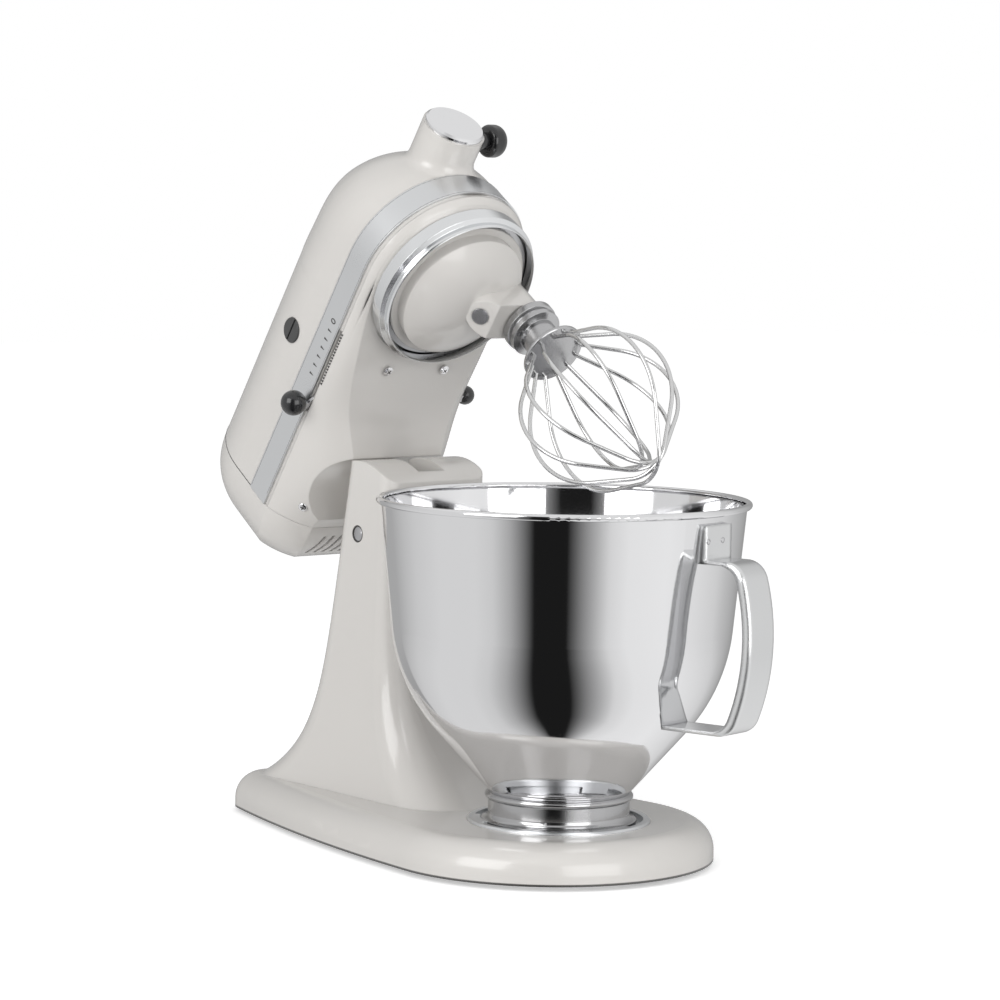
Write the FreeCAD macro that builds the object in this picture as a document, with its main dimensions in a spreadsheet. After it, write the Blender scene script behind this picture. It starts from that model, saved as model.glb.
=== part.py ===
import FreeCAD, Part
import math
import os

import Sketcher

# A tilt-head stand mixer, in millimetres, +Z up, +X towards the attachment hub.
# The origin is on the counter, on the axis of the bowl.
# Head pieces are drawn with the head down, then carried up by the tilt about the hinge.

DOC = FreeCAD.newDocument("stand_mixer")
SHEET = DOC.addObject("Spreadsheet::Sheet", "Sizes")
Vector = FreeCAD.Vector
UP = Vector(0, 0, 1)


# The driving dimensions: millimetres, degrees, counts and ratios.
SIZES = {
    # Fits shared by the whole machine
    "running_gap": 0.05,
    "seat_gap": 0.02,
    "air_gap": 0.4,
    # Stand: base outline, column and hinge
    "foot_gap": 3,
    "base_height": 23,
    "base_round": 17,
    "base_wall": 9,
    "base_hollow": 16.5,
    "nose_radius": 101,
    "nose_centre": 12,
    "side_radius": 1100,
    "side_start": 93.5,
    "side_end": 105.55,
    "heel_radius": 24,
    "column_lean": 0.2,
    "column_front": 121,
    "column_rear": 164,
    "column_half": 39,
    "column_corner": 8,
    "column_wall": 5,
    "rear_sweep": 57,
    "front_sweep": 78,
    "side_sweep": 17,
    "corner_sweep": 30,
    "rear_decay": 26,
    "front_decay": 33,
    "side_decay": 45,
    "corner_decay": 60,
    "tilt_angle": 55.5,
    "hinge_behind": 151.5,
    "hinge_height": 186.3,
    "hinge_pin_radius": 4.7,
    "pin_dome": 1.2,
    "ear_radius": 45.5,
    "ear_slot": 20,
    "ear_front_wall": 8,
    "slot_floor": 20,
    "foot_radius": 9,
    "foot_stem_radius": 3.5,
    "foot_stem": 6,
    # Bowl, its foot and handle, and the plate that clamps it
    "plate_radius": 54.7,
    "plate_floor": 22.4,
    "plate_top": 27.6,
    "plate_thick": 3,
    "plate_rim": 4.2,
    "foot_band_radius": 46.4,
    "foot_band_wall": 1.4,
    "foot_bead": 2,
    "foot_draw": 4,
    "tab_reach": 1.7,
    "tab_height": 2.4,
    "tab_span": 32,
    "hook_height": 2.2,
    "tab_count": 3,
    "bowl_wall": 1.1,
    "bowl_base_radius": 42,
    "bowl_base_height": 43.4,
    "cone_angle": 48.5,
    "cone_length": 50,
    "belly_radius": 107,
    "lip_angle": 84.5,
    "lip_length": 74,
    "rim_bead": 2.1,
    "handle_angle": 13.5,
    "handle_width": 26,
    "handle_thick": 2.4,
    "handle_reach": 29,
    "handle_top": 191,
    "handle_bottom": 90,
    "handle_bend": 14,
    "handle_lean": 3,
    "handle_tab": 22,
    "handle_bow": 19,
    "handle_flange": 5.5,
    "handle_round": 2,
    # Head: upper housing, lower gearcase, rear cover and trim
    "head_half": 58,
    "head_shoulder": 293,
    "split_height": 252,
    "nose_bottom": 243.5,
    "head_wall": 4,
    "seam_behind": 182,
    "hub_height": 295,
    "hub_radius": 20,
    "hub_face": 78.5,
    "hub_round": 8,
    "hub_bore": 12.7,
    "hub_bore_depth": 26,
    "cover_length": 48,
    "cover_centre": 285,
    "cover_wall": 3,
    "cover_power": 2.4,
    "saddle_gap": 1.5,
    "lug_radius": 15,
    "lug_play": 0.4,
    "case_floor": 247,
    "band_bottom": 254.7,
    "band_height": 18.3,
    "band_thick": 1,
    "throat_behind": 45,
    "throat_bottom": 242.2,
    "throat_half": 49.5,
    "screw_behind": 75,
    "screw_bottom": 239,
    "screw_half": 45,
    "chin_behind": 100,
    "chin_bottom": 233.5,
    "chin_half": 39.5,
    "lip_behind": 123,
    "lip_bottom": 221,
    "lip_half": 34,
    "saddle_bottom": 219,
    "saddle_half": 33,
    "tail_bottom": 229,
    "tail_half": 36,
    "vent_count": 9,
    "vent_pitch": 6.4,
    "vent_width": 2.2,
    "vent_length": 17,
    "vent_start": 8,
    "nose_round": 8,
    "flank_ease": 2.2,
    "brow_behind": 40,
    "brow_drop": 14,
    # Small pieces on the head
    "ring_top_radius": 54.4,
    "ring_wall": 1.4,
    "ring_lip": 228.6,
    "ring_lip_radius": 52,
    "ring_step": 233.4,
    "ring_bead": 1.5,
    "cap_radius": 19,
    "cap_thick": 3.2,
    "cap_bevel": 1.3,
    "cap_plug": 9,
    "knob_radius": 10.2,
    "knob_neck": 5.4,
    "knob_stud": 2.5,
    "knob_behind_face": 9,
    "knob_stand": 8,
    "knob_length": 13,
    "brush_behind": 75,
    "brush_cap_radius": 8,
    "brush_cap_proud": 0.9,
    "brush_cap_depth": 6,
    "lever_rest": 94,
    "lever_travel": 45,
    "lever_thick": 1.9,
    "lever_width": 7,
    "lever_sweep": 8,
    "ball_radius": 8,
    "lock_rest": 92,
    "lock_travel": 10,
    "lock_ball_radius": 6.2,
    "lever_inside": 9,
    "lever_knee": 2,
    "lever_rise": 3,
    "ball_grip": 5,
    "slot_play": 0.3,
    "screw_radius": 3.3,
    "screw_length": 9,
    "screw_spread": 22,
    "screw_place": 65,
    # Planetary, beater shaft and whip
    "tooth_module": 1.5,
    "ring_teeth": 60,
    "pinion_teeth": 16,
    "gear_face": 6.5,
    "ring_gear_wall": 3.2,
    "tooth_play": 0.34,
    "dome_radius": 42,
    "flange_radius": 46.6,
    "dome_flange": 2.6,
    "dome_rim": 9.6,
    "dome_depth": 14,
    "arm_bottom": 201.5,
    "arm_half": 12.5,
    "arm_back": -7,
    "boss_radius": 14,
    "shaft_radius": 7,
    "plug_radius": 5.2,
    "plug_proud": 0.8,
    "plug_deep": 3,
    "beater_radius": 6.35,
    "beater_end": 175,
    "cross_pin_radius": 2,
    "cross_pin_height": 187.5,
    "cross_pin_length": 25,
    "whip_collar_radius": 17.2,
    "whip_collar_top": 200.5,
    "whip_collar_height": 6,
    "whip_waist": 11.5,
    "whip_disc_radius": 20.2,
    "whip_disc_bottom": 168.5,
    "whip_disc_thick": 2.2,
    "wire_radius": 1.25,
    "wire_exit": 16.4,
    "whip_bulb": 50,
    "whip_neck_angle": 44.3,
    "whip_tip": 54,
    "loop_count": 6,
    "wire_step": 2.8,
    "whip_end_radius": 20,
    "whip_end_angle": 43,
    "bulb_step": 1.8,
    # Drive train inside the head
    "spur_teeth": 20,
    "centre_teeth": 55,
    "spur_face": 8,
    "spur_height": 257.5,
    "wheel_teeth": 24,
    "worm_pitch_radius": 9,
    "worm_core": 6.9,
    "worm_length": 26,
    "wheel_face": 8,
    "wheel_shaft": 5,
    "cone_ratio": 1.5,
    "hub_bevel_radius": 15,
    "bevel_face": 9,
    "socket_square": 9.5,
    "socket_radius": 10.5,
    "motor_shaft": 6,
    "core_radius": 23,
    "core_start": 96,
    "core_length": 54,
    "core_gap": 0.6,
    "stator_flat": 42,
    "commutator_radius": 13,
    "commutator_length": 18,
    "fan_radius": 42,
    "fan_start": 157,
    "fan_thick": 10,
    "fan_blades": 9,
    "fan_hub": 12,
    "bearing_outer": 11,
    "bearing_width": 7,
    "bracket_thick": 5,
    "bracket_place": 29,
    "rear_plate_place": 173,
    "brush_width": 8,
    "board_thick": 2,
    "board_half": 36,
    "board_height": 52,
    "bush_radius": 10,
    "bush_flange": 13,
    "bush_flange_thick": 2,
}


class Size:
    """A length, angle or ratio, with the formula that ties it to the sheet."""

    def __init__(self, value, formula):
        self.value = value
        self.formula = formula

    def __add__(self, other):
        other = sized(other)
        return Size(self.value + other.value, f"({self.formula} + {other.formula})")

    def __sub__(self, other):
        other = sized(other)
        return Size(self.value - other.value, f"({self.formula} - {other.formula})")

    def __mul__(self, other):
        other = sized(other)
        return Size(self.value * other.value, f"({self.formula} * {other.formula})")

    def __truediv__(self, other):
        other = sized(other)
        return Size(self.value / other.value, f"({self.formula} / {other.formula})")

    def __pow__(self, power):
        return Size(self.value**power, f"({self.formula} ^ {power})")

    def __neg__(self):
        return Size(-self.value, f"(-1 * {self.formula})")

    def __radd__(self, other):
        return sized(other) + self

    def __rsub__(self, other):
        return sized(other) - self

    def __rmul__(self, other):
        return sized(other) * self


def sized(number):
    return number if isinstance(number, Size) else Size(float(number), repr(float(number)))


def cosine(angle):
    angle = sized(angle)
    return Size(math.cos(math.radians(angle.value)), f"cos({angle.formula})")


def sine(angle):
    angle = sized(angle)
    return Size(math.sin(math.radians(angle.value)), f"sin({angle.formula})")


def root(number):
    return Size(math.sqrt(number.value), f"sqrt({number.formula})")


def fade(ratio):
    return Size(math.exp(-ratio.value), f"exp(-1 * {ratio.formula})")


class Sizes:
    """The driving dimensions, one attribute for each named cell of the sheet."""

    def __init__(self, cells):
        for row, (alias, number) in enumerate(cells.items(), 1):
            SHEET.set(f"A{row}", alias.replace("_", " "))
            SHEET.set(f"B{row}", str(number))
            SHEET.setAlias(f"B{row}", alias)
            setattr(self, alias, Size(float(number), f"Sizes.{alias}"))


S = Sizes(SIZES)
DOC.recompute()

HINGE_X = -S.hinge_behind
HINGE_Z = S.hinge_height
BASE_TOP = S.foot_gap + S.base_height
PARTS = []


def named_body(label):
    body = DOC.addObject("PartDesign::Body", label)
    body.Label = label
    PARTS.append(body)
    return body


def bind(item, prop, size):
    item.setExpression(prop, sized(size).formula)


def origin_plane(body, role):
    return [plane for plane in body.Origin.OriginFeatures if plane.Role == role][0]


def empty_sketch(body, role, offset):
    sketch = body.newObject("Sketcher::SketchObject", "outline")
    sketch.AttachmentSupport = [(origin_plane(body, role), "")]
    sketch.MapMode = "FlatFace"
    if offset is not None:
        bind(sketch, "AttachmentOffset.Base.z", offset)
    return sketch


def fix_point(sketch, edge, end, x, y):
    for direction, place in (("DistanceX", x), ("DistanceY", y)):
        rule = Sketcher.Constraint(direction, -1, 1, edge, end, place.value)
        bind(sketch, f"Constraints[{sketch.addConstraint(rule)}]", place)


def bent_edge(start, finish, bend):
    """An arc between two points; a positive radius bends to the left, a negative to the right."""
    radius = abs(bend)
    chord = finish - start
    side = 1 if bend > 0 else -1
    height = math.sqrt(max(radius**2 - chord.Length**2 / 4, 0))
    normal = Vector(-chord.y, chord.x, 0).normalize()
    centre = (start + finish) * 0.5 + normal * (height * side)
    first, last = (start, finish) if side > 0 else (finish, start)
    angles = [math.atan2(point.y - centre.y, point.x - centre.x) for point in (first, last)]
    return Part.ArcOfCircle(Part.Circle(centre, UP, radius), *angles)


def outline(body, role, corners, offset=None):
    """A closed outline on a plane. A corner is (x, y), or (x, y, radius) where an arc leads to it."""
    sketch = empty_sketch(body, role, offset)
    corners = [tuple(sized(number) for number in corner) for corner in corners]
    points = [Vector(corner[0].value, corner[1].value, 0) for corner in corners]
    ends = []
    for index, corner in enumerate(corners):
        if len(corner) == 2:
            sketch.addGeometry(Part.LineSegment(points[index - 1], points[index]), False)
            ends.append((1, 2))
        else:
            bend = corner[2].value
            sketch.addGeometry(bent_edge(points[index - 1], points[index], bend), False)
            ends.append((1, 2) if bend > 0 else (2, 1))
    for index, corner in enumerate(corners):
        after = (index + 1) % len(corners)
        joint = Sketcher.Constraint("Coincident", index, ends[index][1], after, ends[after][0])
        sketch.addConstraint(joint)
        fix_point(sketch, index, ends[index][1], corner[0], corner[1])
        if len(corner) == 3:
            radius = corner[2] if corner[2].value > 0 else -corner[2]
            rule = Sketcher.Constraint("Radius", index, radius.value)
            bind(sketch, f"Constraints[{sketch.addConstraint(rule)}]", radius)
    return sketch


def disc(body, role, radius, x=0, y=0, offset=None):
    sketch = empty_sketch(body, role, offset)
    radius, x, y = sized(radius), sized(x), sized(y)
    sketch.addGeometry(Part.Circle(Vector(x.value, y.value, 0), UP, radius.value), False)
    fix_point(sketch, 0, 3, x, y)
    rule = Sketcher.Constraint("Radius", 0, radius.value)
    bind(sketch, f"Constraints[{sketch.addConstraint(rule)}]", radius)
    return sketch


def extrude(kind, body, sketch, length, both=False, back=False):
    feature = body.newObject(f"PartDesign::{kind}", kind.lower())
    feature.Profile = sketch
    feature.SideType = "Symmetric" if both else "One side"
    feature.Reversed = back
    bind(feature, "Length", length)
    return feature


def pad(body, sketch, length, both=False, back=False):
    return extrude("Pad", body, sketch, length, both, back)


def pocket(body, sketch, length, both=False, back=False):
    return extrude("Pocket", body, sketch, length, both, back)


def turn(kind, body, sketch, axis, angle=360):
    feature = body.newObject(f"PartDesign::{kind}", kind.lower())
    feature.Profile = sketch
    feature.ReferenceAxis = (sketch, [axis])
    feature.Angle = angle
    feature.Midplane = angle < 360
    return feature


def spin(body, sketch, axis="V_Axis", angle=360):
    return turn("Revolution", body, sketch, axis, angle)


def groove(body, sketch, axis="V_Axis", angle=360):
    return turn("Groove", body, sketch, axis, angle)


def loft(kind, body, sketches):
    feature = body.newObject(f"PartDesign::{kind}Loft", "loft")
    feature.Profile = sketches[0]
    feature.Sections = sketches[1:]
    return feature


def around(body, feature, count, axis="Z_Axis"):
    """Repeats one feature round an axis of the body, evenly over a full turn."""
    line = origin_plane(body, axis)
    pattern = body.newObject("PartDesign::PolarPattern", "pattern")
    pattern.Originals = [feature]
    pattern.Axis = (line, [""])
    pattern.Angle = 360
    bind(pattern, "Occurrences", count)
    body.Tip = pattern
    return pattern


def along(body, feature, count, pitch, axis):
    """Repeats one feature along an axis of the body, a pitch apart."""
    pattern = body.newObject("PartDesign::LinearPattern", "pattern")
    pattern.Originals = [feature]
    pattern.Direction = (origin_plane(body, axis), [""])
    bind(pattern, "Length", pitch * (count - 1))
    bind(pattern, "Occurrences", count)
    body.Tip = pattern
    return pattern


def round_edges(body, radius, chosen, kind="Fillet"):
    """Rounds or bevels the edges of the body so far for which chosen(edge) is true."""
    DOC.recompute()
    base = body.Tip
    names = [f"Edge{n}" for n, edge in enumerate(base.Shape.Edges, 1) if chosen(edge)]
    feature = body.newObject(f"PartDesign::{kind}", kind.lower())
    feature.Base = (base, names)
    bind(feature, "Radius" if kind == "Fillet" else "Size", radius)
    return feature


def in_stand(item, x=0, y=0, z=0, turned=0, axis=UP):
    item.Placement = FreeCAD.Placement(Vector(), FreeCAD.Rotation(axis, 1))
    bind(item, "Placement.Rotation.Angle", turned)
    for name, place in zip("xyz", (x, y, z)):
        bind(item, f"Placement.Base.{name}", place)


def in_head(item, x=0, y=0, z=0):
    """Places a piece drawn about (x, y, z) of the lowered head into the tilted head."""
    dx, dz = sized(x) - HINGE_X, sized(z) - HINGE_Z
    cos, sin = cosine(S.tilt_angle), sine(S.tilt_angle)
    along_x = HINGE_X + dx * cos - dz * sin
    along_z = HINGE_Z + dx * sin + dz * cos
    in_stand(item, along_x, y, along_z, S.tilt_angle, Vector(0, -1, 0))


def in_beater(item, z):
    """Places a piece on the beater shaft, which stands off the bowl axis by the orbit."""
    in_head(item, 0, ORBIT, z)


def group_of(label, items):
    """Several loose solids of one kind, kept together under one name."""
    compound = DOC.addObject("Part::Compound", label)
    compound.Label = label
    compound.Links = items
    PARTS.append(compound)
    return compound


def lathe_piece(rings, axis="z"):
    """A loose turned solid from (radius, place along the axis) points, made about its own origin."""
    body = DOC.addObject("PartDesign::Body", "turned")
    corners = [(r, a) if axis != "x" else (a, r) for r, a in rings]
    spin(body, outline(body, "XY_Plane" if axis == "y" else "XZ_Plane", corners),
         "H_Axis" if axis == "x" else "V_Axis")
    return body


def turned_part(label, rings, axis="z"):
    """A named turned piece; an arc's radius may follow a point as its third number."""
    body = named_body(label)
    corners = []
    for ring in rings:
        place = (ring[0], ring[1]) if axis != "x" else (ring[1], ring[0])
        corners.append(place + tuple(ring[2:]))
    plane = "XY_Plane" if axis == "y" else "XZ_Plane"
    spin(body, outline(body, plane, corners), "H_Axis" if axis == "x" else "V_Axis")
    return body


# Stand casting

COLUMN_LEVELS = (0, 0.035, 0.08, 0.15, 0.26, 0.43, 0.66, 0.84, 1)
HOLLOW_LEVELS = (-0.03, 0.035, 0.08, 0.15, 0.26, 0.43, 0.6)
COLUMN_LOW = S.foot_gap + S.base_height * 0.8
COLUMN_HIGH = HINGE_Z + S.ear_radius + S.saddle_gap


def base_outline(inset):
    """The egg-shaped base: a round nose, long bowed sides and a blunt heel."""
    nose = S.nose_radius - inset
    side = S.side_radius - inset
    heel = S.heel_radius - inset
    begin_x = -S.nose_centre + S.nose_radius * cosine(S.side_start)
    begin_y = S.nose_radius * sine(S.side_start)
    middle_x = begin_x - S.side_radius * cosine(S.side_start)
    middle_y = begin_y - S.side_radius * sine(S.side_start)
    reach = S.side_radius - S.heel_radius
    heel_x = middle_x + reach * cosine(S.side_end)
    heel_y = middle_y + reach * sine(S.side_end)
    side_near = (middle_x + side * cosine(S.side_start), middle_y + side * sine(S.side_start))
    side_far = (middle_x + side * cosine(S.side_end), middle_y + side * sine(S.side_end))
    front_x = -S.nose_centre + nose
    return [
        (front_x, 0, nose),
        (*side_near, nose),
        (*side_far, side),
        (heel_x - heel, heel_y, heel),
        (heel_x - heel, -heel_y),
        (side_far[0], -side_far[1], heel),
        (side_near[0], -side_near[1], side),
    ]


def column_section(body, level, inset):
    """One rounded rectangle of the column, which leans forward and flares into the base."""
    height = COLUMN_LOW + (COLUMN_HIGH - COLUMN_LOW) * level
    rise = height - COLUMN_LOW
    drop = COLUMN_HIGH - height
    rear = S.column_rear + S.column_lean * drop + S.rear_sweep * fade(rise / S.rear_decay) - inset
    front = S.column_front - S.front_sweep * fade(rise / S.front_decay) + inset
    half = S.column_half + S.side_sweep * fade(rise / S.side_decay) - inset
    corner = S.column_corner + S.corner_sweep * fade(rise / S.corner_decay) - inset
    corners = [
        (-front, -half + corner, corner),
        (-front, half - corner),
        (-front - corner, half, corner),
        (-rear + corner, half),
        (-rear, half - corner, corner),
        (-rear, -half + corner),
        (-rear + corner, -half, corner),
        (-front - corner, -half),
    ]
    return outline(body, "XY_Plane", corners, height)


def stand_casting():
    body = named_body("stand_casting")
    pad(body, outline(body, "XY_Plane", base_outline(sized(0)), S.foot_gap), S.base_height)
    round_edges(body, S.base_round, lambda edge: edge.BoundBox.ZMin > BASE_TOP.value - 0.1)
    loft("Additive", body, [column_section(body, level, sized(0)) for level in COLUMN_LEVELS])
    hump_front = HINGE_X + S.ear_radius * cosine(24)
    hump_rear = HINGE_X - S.ear_radius * cosine(20)
    clear = S.ear_radius * 2
    above_ears = [
        (hump_front, HINGE_Z + S.ear_radius * sine(24)),
        (hump_rear, HINGE_Z + S.ear_radius * sine(20), S.ear_radius),
        (HINGE_X - clear, HINGE_Z + S.ear_radius * sine(20)),
        (HINGE_X - clear, HINGE_Z + clear),
        (HINGE_X + clear, HINGE_Z + clear),
        (HINGE_X + clear, HINGE_Z + S.ear_radius * sine(24)),
    ]
    pocket(body, outline(body, "XZ_Plane", above_ears), S.column_half * 4, both=True)
    slot_front = -S.column_front - S.ear_front_wall
    slot = [
        (slot_front, HINGE_Z - S.slot_floor),
        (slot_front, HINGE_Z + clear),
        (HINGE_X - clear, HINGE_Z + clear),
        (HINGE_X - clear, HINGE_Z - S.slot_floor),
    ]
    pocket(body, outline(body, "XZ_Plane", slot), S.ear_slot, both=True)
    hole = disc(body, "XZ_Plane", S.hinge_pin_radius + S.seat_gap, HINGE_X, HINGE_Z)
    pocket(body, hole, S.column_half * 4, both=True)
    under = outline(body, "XY_Plane", base_outline(S.base_wall), S.foot_gap)
    pocket(body, under, S.base_hollow, back=True)
    loft("Subtractive", body, [column_section(body, level, S.column_wall) for level in HOLLOW_LEVELS])
    for x, y in foot_places():
        pad(body, disc(body, "XY_Plane", S.foot_radius, x, y, S.foot_gap), S.base_hollow)
        hole = disc(body, "XY_Plane", S.foot_stem_radius + S.seat_gap, x, y, S.foot_gap)
        pocket(body, hole, S.foot_stem + S.air_gap, back=True)
    seat = disc(body, "XY_Plane", S.plate_radius + S.seat_gap, 0, 0, S.plate_floor - S.plate_thick)
    pocket(body, seat, S.base_height, back=True)


def foot_places():
    front = S.nose_radius - S.base_wall - S.foot_radius * 1.2
    side = S.heel_radius * 2
    heel = S.column_rear + S.rear_sweep + S.base_height
    nose = front - S.nose_centre
    return [
        (nose, sized(0)),
        (-S.nose_centre, front),
        (-S.nose_centre, -front),
        (-heel, side),
        (-heel, -side),
    ]


def feet():
    stem_top = S.foot_gap + S.foot_stem
    rings = [
        (0, 0), (S.foot_radius - 1, 0), (S.foot_radius, S.foot_gap), (S.foot_stem_radius, S.foot_gap),
        (S.foot_stem_radius, stem_top), (0, stem_top),
    ]
    pieces = []
    for x, y in foot_places():
        piece = lathe_piece(rings)
        in_stand(piece, x, y)
        pieces.append(piece)
    group_of("rubber_feet", pieces)


def hinge_pin():
    half = S.column_half + S.pin_dome
    flat = S.column_half
    radius = S.hinge_pin_radius
    dome = (radius**2 + S.pin_dome**2) / (S.pin_dome * 2)
    body = turned_part(
        "hinge_pin",
        [(0, -half), (radius, -flat, dome), (radius, flat), (0, half, dome)],
        "y",
    )
    in_stand(body, HINGE_X, 0, HINGE_Z)


# Bowl and its clamp

def tab_sector(body, inner, outer, height):
    """A short arc-shaped lug centred on +X, between two radii."""
    half = S.tab_span / 2
    corners = [
        (inner * cosine(half), -inner * sine(half)),
        (outer * cosine(half), -outer * sine(half)),
        (outer * cosine(half), outer * sine(half), outer),
        (inner * cosine(half), inner * sine(half)),
        (inner * cosine(half), -inner * sine(half), -inner),
    ]
    return outline(body, "XY_Plane", corners[1:], height)


def bowl_clamp_plate():
    inner = S.plate_radius - S.plate_rim
    low = S.plate_floor - S.plate_thick
    body = turned_part("bowl_clamp_plate", [
        (0, low), (S.plate_radius, low), (S.plate_radius, S.plate_top - 1),
        (S.plate_radius - 1, S.plate_top), (inner, S.plate_top), (inner, S.plate_floor),
        (0, S.plate_floor),
    ])
    hook = tab_sector(body, S.foot_band_radius + S.air_gap, inner + S.plate_rim / 2,
                      S.plate_top - S.hook_height)
    around(body, pad(body, hook, S.hook_height), S.tab_count)
    for angle in (45, 135, 225, 315):
        x = S.foot_band_radius * 0.65 * cosine(angle)
        y = S.foot_band_radius * 0.65 * sine(angle)
        hole = disc(body, "XY_Plane", S.screw_radius * 0.6 + S.seat_gap, x, y, low)
        pocket(body, hole, S.plate_thick, back=True)


def clamp_screws():
    low = S.plate_floor - S.plate_thick
    head = S.screw_radius
    shank = S.screw_radius * 0.6
    pieces = []
    for angle in (45, 135, 225, 315):
        piece = lathe_piece([
            (0, low), (shank, low), (shank, S.plate_floor), (head, S.plate_floor),
            (head, S.plate_floor + 1), (head * 0.6, S.plate_floor + 2), (0, S.plate_floor + 2),
        ])
        in_stand(piece, S.foot_band_radius * 0.65 * cosine(angle), S.foot_band_radius * 0.65 * sine(angle))
        pieces.append(piece)
    group_of("clamp_screws", pieces)


def bowl_points(wall):
    """The bowl's side as seen in section, moved inwards by a wall: base, cone, belly and lip."""
    cone_cos, cone_sin = cosine(S.cone_angle), sine(S.cone_angle)
    lip_cos, lip_sin = cosine(S.lip_angle), sine(S.lip_angle)
    low = (S.bowl_base_radius - wall * cone_sin, S.bowl_base_height + wall * cone_cos)
    belly = (low[0] + S.cone_length * cone_cos, low[1] + S.cone_length * cone_sin)
    radius = S.belly_radius - wall
    centre = (belly[0] - radius * cone_sin, belly[1] + radius * cone_cos)
    shoulder = (centre[0] + radius * lip_sin, centre[1] - radius * lip_cos)
    lip = (shoulder[0] + S.lip_length * lip_cos, shoulder[1] + S.lip_length * lip_sin)
    return low, belly, shoulder, lip, radius


def bowl_shell():
    low, belly, shoulder, lip, radius = bowl_points(sized(0))
    low_in, belly_in, shoulder_in, lip_in, radius_in = bowl_points(S.bowl_wall)
    base_in = S.bowl_base_height + S.bowl_wall
    body = named_body("bowl_shell")
    spin(body, outline(body, "XZ_Plane", [
        (0, S.bowl_base_height), low, belly, (*shoulder, radius), lip, lip_in,
        shoulder_in, (*belly_in, -radius_in), (low_in[0], base_in), (0, base_in),
    ]))
    rim_x = (lip[0] + lip_in[0]) / 2 + S.rim_bead - S.bowl_wall / 2
    rim_z = lip[1] + S.rim_bead * 0.8
    bead = disc(body, "XZ_Plane", S.rim_bead, rim_x, rim_z)
    spin(body, bead)


def bowl_foot():
    """A spun band: a straight skirt that locks in the plate, a drawn-in waist and a bead at the top."""
    wall = S.foot_band_wall
    radius = S.foot_band_radius
    inner = radius - wall
    low = S.plate_floor + S.air_gap / 4
    top = S.bowl_base_height - S.seat_gap
    bead = S.foot_bead
    waist = radius - S.foot_draw
    skirt = low + S.tab_height * 2
    bend = (S.foot_draw**2 + S.foot_draw**2) / (S.foot_draw * 2)
    seat = S.bowl_base_radius * 0.8
    body = turned_part("bowl_foot", [
        (inner, low), (radius, low), (radius, skirt), (waist, skirt + S.foot_draw, -bend),
        (waist, top - bead * 2), (waist + bead, top - bead, bead), (waist, top, bead),
        (seat, top), (seat, top - wall), (waist - wall, top - wall),
        (waist - wall, skirt + S.foot_draw), (inner, skirt - wall),
    ])
    tab = tab_sector(body, inner, radius + S.tab_reach, low)
    around(body, pad(body, tab, S.tab_height), S.tab_count)


def turned_back(corners):
    """The same line drawn from its other end, with each arc turning the other way."""
    result = [corners[-1][:2]]
    for start, end in zip(corners[-2::-1], corners[:0:-1]):
        result.append((*start[:2], *(-radius for radius in end[2:])))
    return result


def bowl_handle():
    """A strap with turned-in edges: an arm out from the lip, a bowed grip, an arm back to the belly."""
    low, belly, shoulder, lip, radius = bowl_points(sized(0))
    thick = S.handle_thick
    bend = S.handle_bend
    top = S.handle_top
    bottom = S.handle_bottom
    wall = lip[0]
    root_x = S.bowl_base_radius + S.cone_length * 0.6
    rise = S.handle_bow - S.handle_lean
    fall = S.handle_bow + S.handle_lean
    grip_top = top - bend * (1 - sine(rise))
    grip_low = bottom + bend * (1 - sine(fall))
    chord = (grip_top - grip_low) / cosine(S.handle_lean)
    bow = chord / (sine(S.handle_bow) * 2)
    out_top = wall + S.handle_reach
    out_low = out_top - chord * sine(S.handle_lean)

    def strap_line(grip, arm):
        """The strap's line, moved in by grip along the grip and by arm along the two arms."""
        low_bend = bend + (grip * sine(fall) - arm) / (1 - sine(fall))
        top_bend = bend + (grip * sine(rise) - arm) / (1 - sine(rise))
        low_x = out_low - grip * cosine(fall)
        top_x = out_top - grip * cosine(rise)
        return [
            (root_x, bottom + arm), (low_x - low_bend * cosine(fall), bottom + arm),
            (low_x, grip_low + grip * sine(fall), low_bend),
            (top_x, grip_top - grip * sine(rise), bow - grip),
            (top_x - top_bend * cosine(rise), top - arm, top_bend), (root_x, top - arm),
        ]

    body = named_body("bowl_handle")
    outside = strap_line(sized(0), sized(0))
    flange = strap_line(S.handle_flange, thick)
    pad(body, outline(body, "XZ_Plane", outside + turned_back(flange)), S.handle_width, both=True)
    channel = strap_line(thick, thick)
    pocket(body, outline(body, "XZ_Plane", channel), S.handle_width - thick * 2, both=True)

    def on_outside(edge):
        return any(abs(getattr(edge.Curve, "Radius", 0) - arc.value) < 0.01 for arc in (bend, bow))

    round_edges(body, S.handle_round, on_outside)
    tabs = [
        (root_x, top - thick / 2),
        (wall + thick, top - thick / 2),
        (wall + thick, top + S.handle_tab - thick),
        (root_x, top + S.handle_tab - thick),
    ]
    pad(body, outline(body, "XZ_Plane", tabs), S.handle_width, both=True)
    room = [
        (0, low[1] - S.handle_tab), (low[0], low[1] - S.handle_tab), low, belly,
        (*shoulder, radius), lip, (lip[0], lip[1] + S.handle_tab), (0, lip[1] + S.handle_tab),
    ]
    groove(body, outline(body, "XZ_Plane", room))
    in_stand(body, turned=S.handle_angle)


# Head shells

def loaf(half, top_radius, low):
    """The upper housing in section: straight sides and a half-round top."""
    return [
        (-half, low),
        (half, low),
        (half, S.head_shoulder),
        (0, S.head_shoulder + top_radius, top_radius),
        (-half, S.head_shoulder, top_radius),
    ]


NOSE_STEPS = (-1, -0.5, 0, 0.24, 0.46, 0.65, 0.8, 0.91, 0.975)


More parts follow.
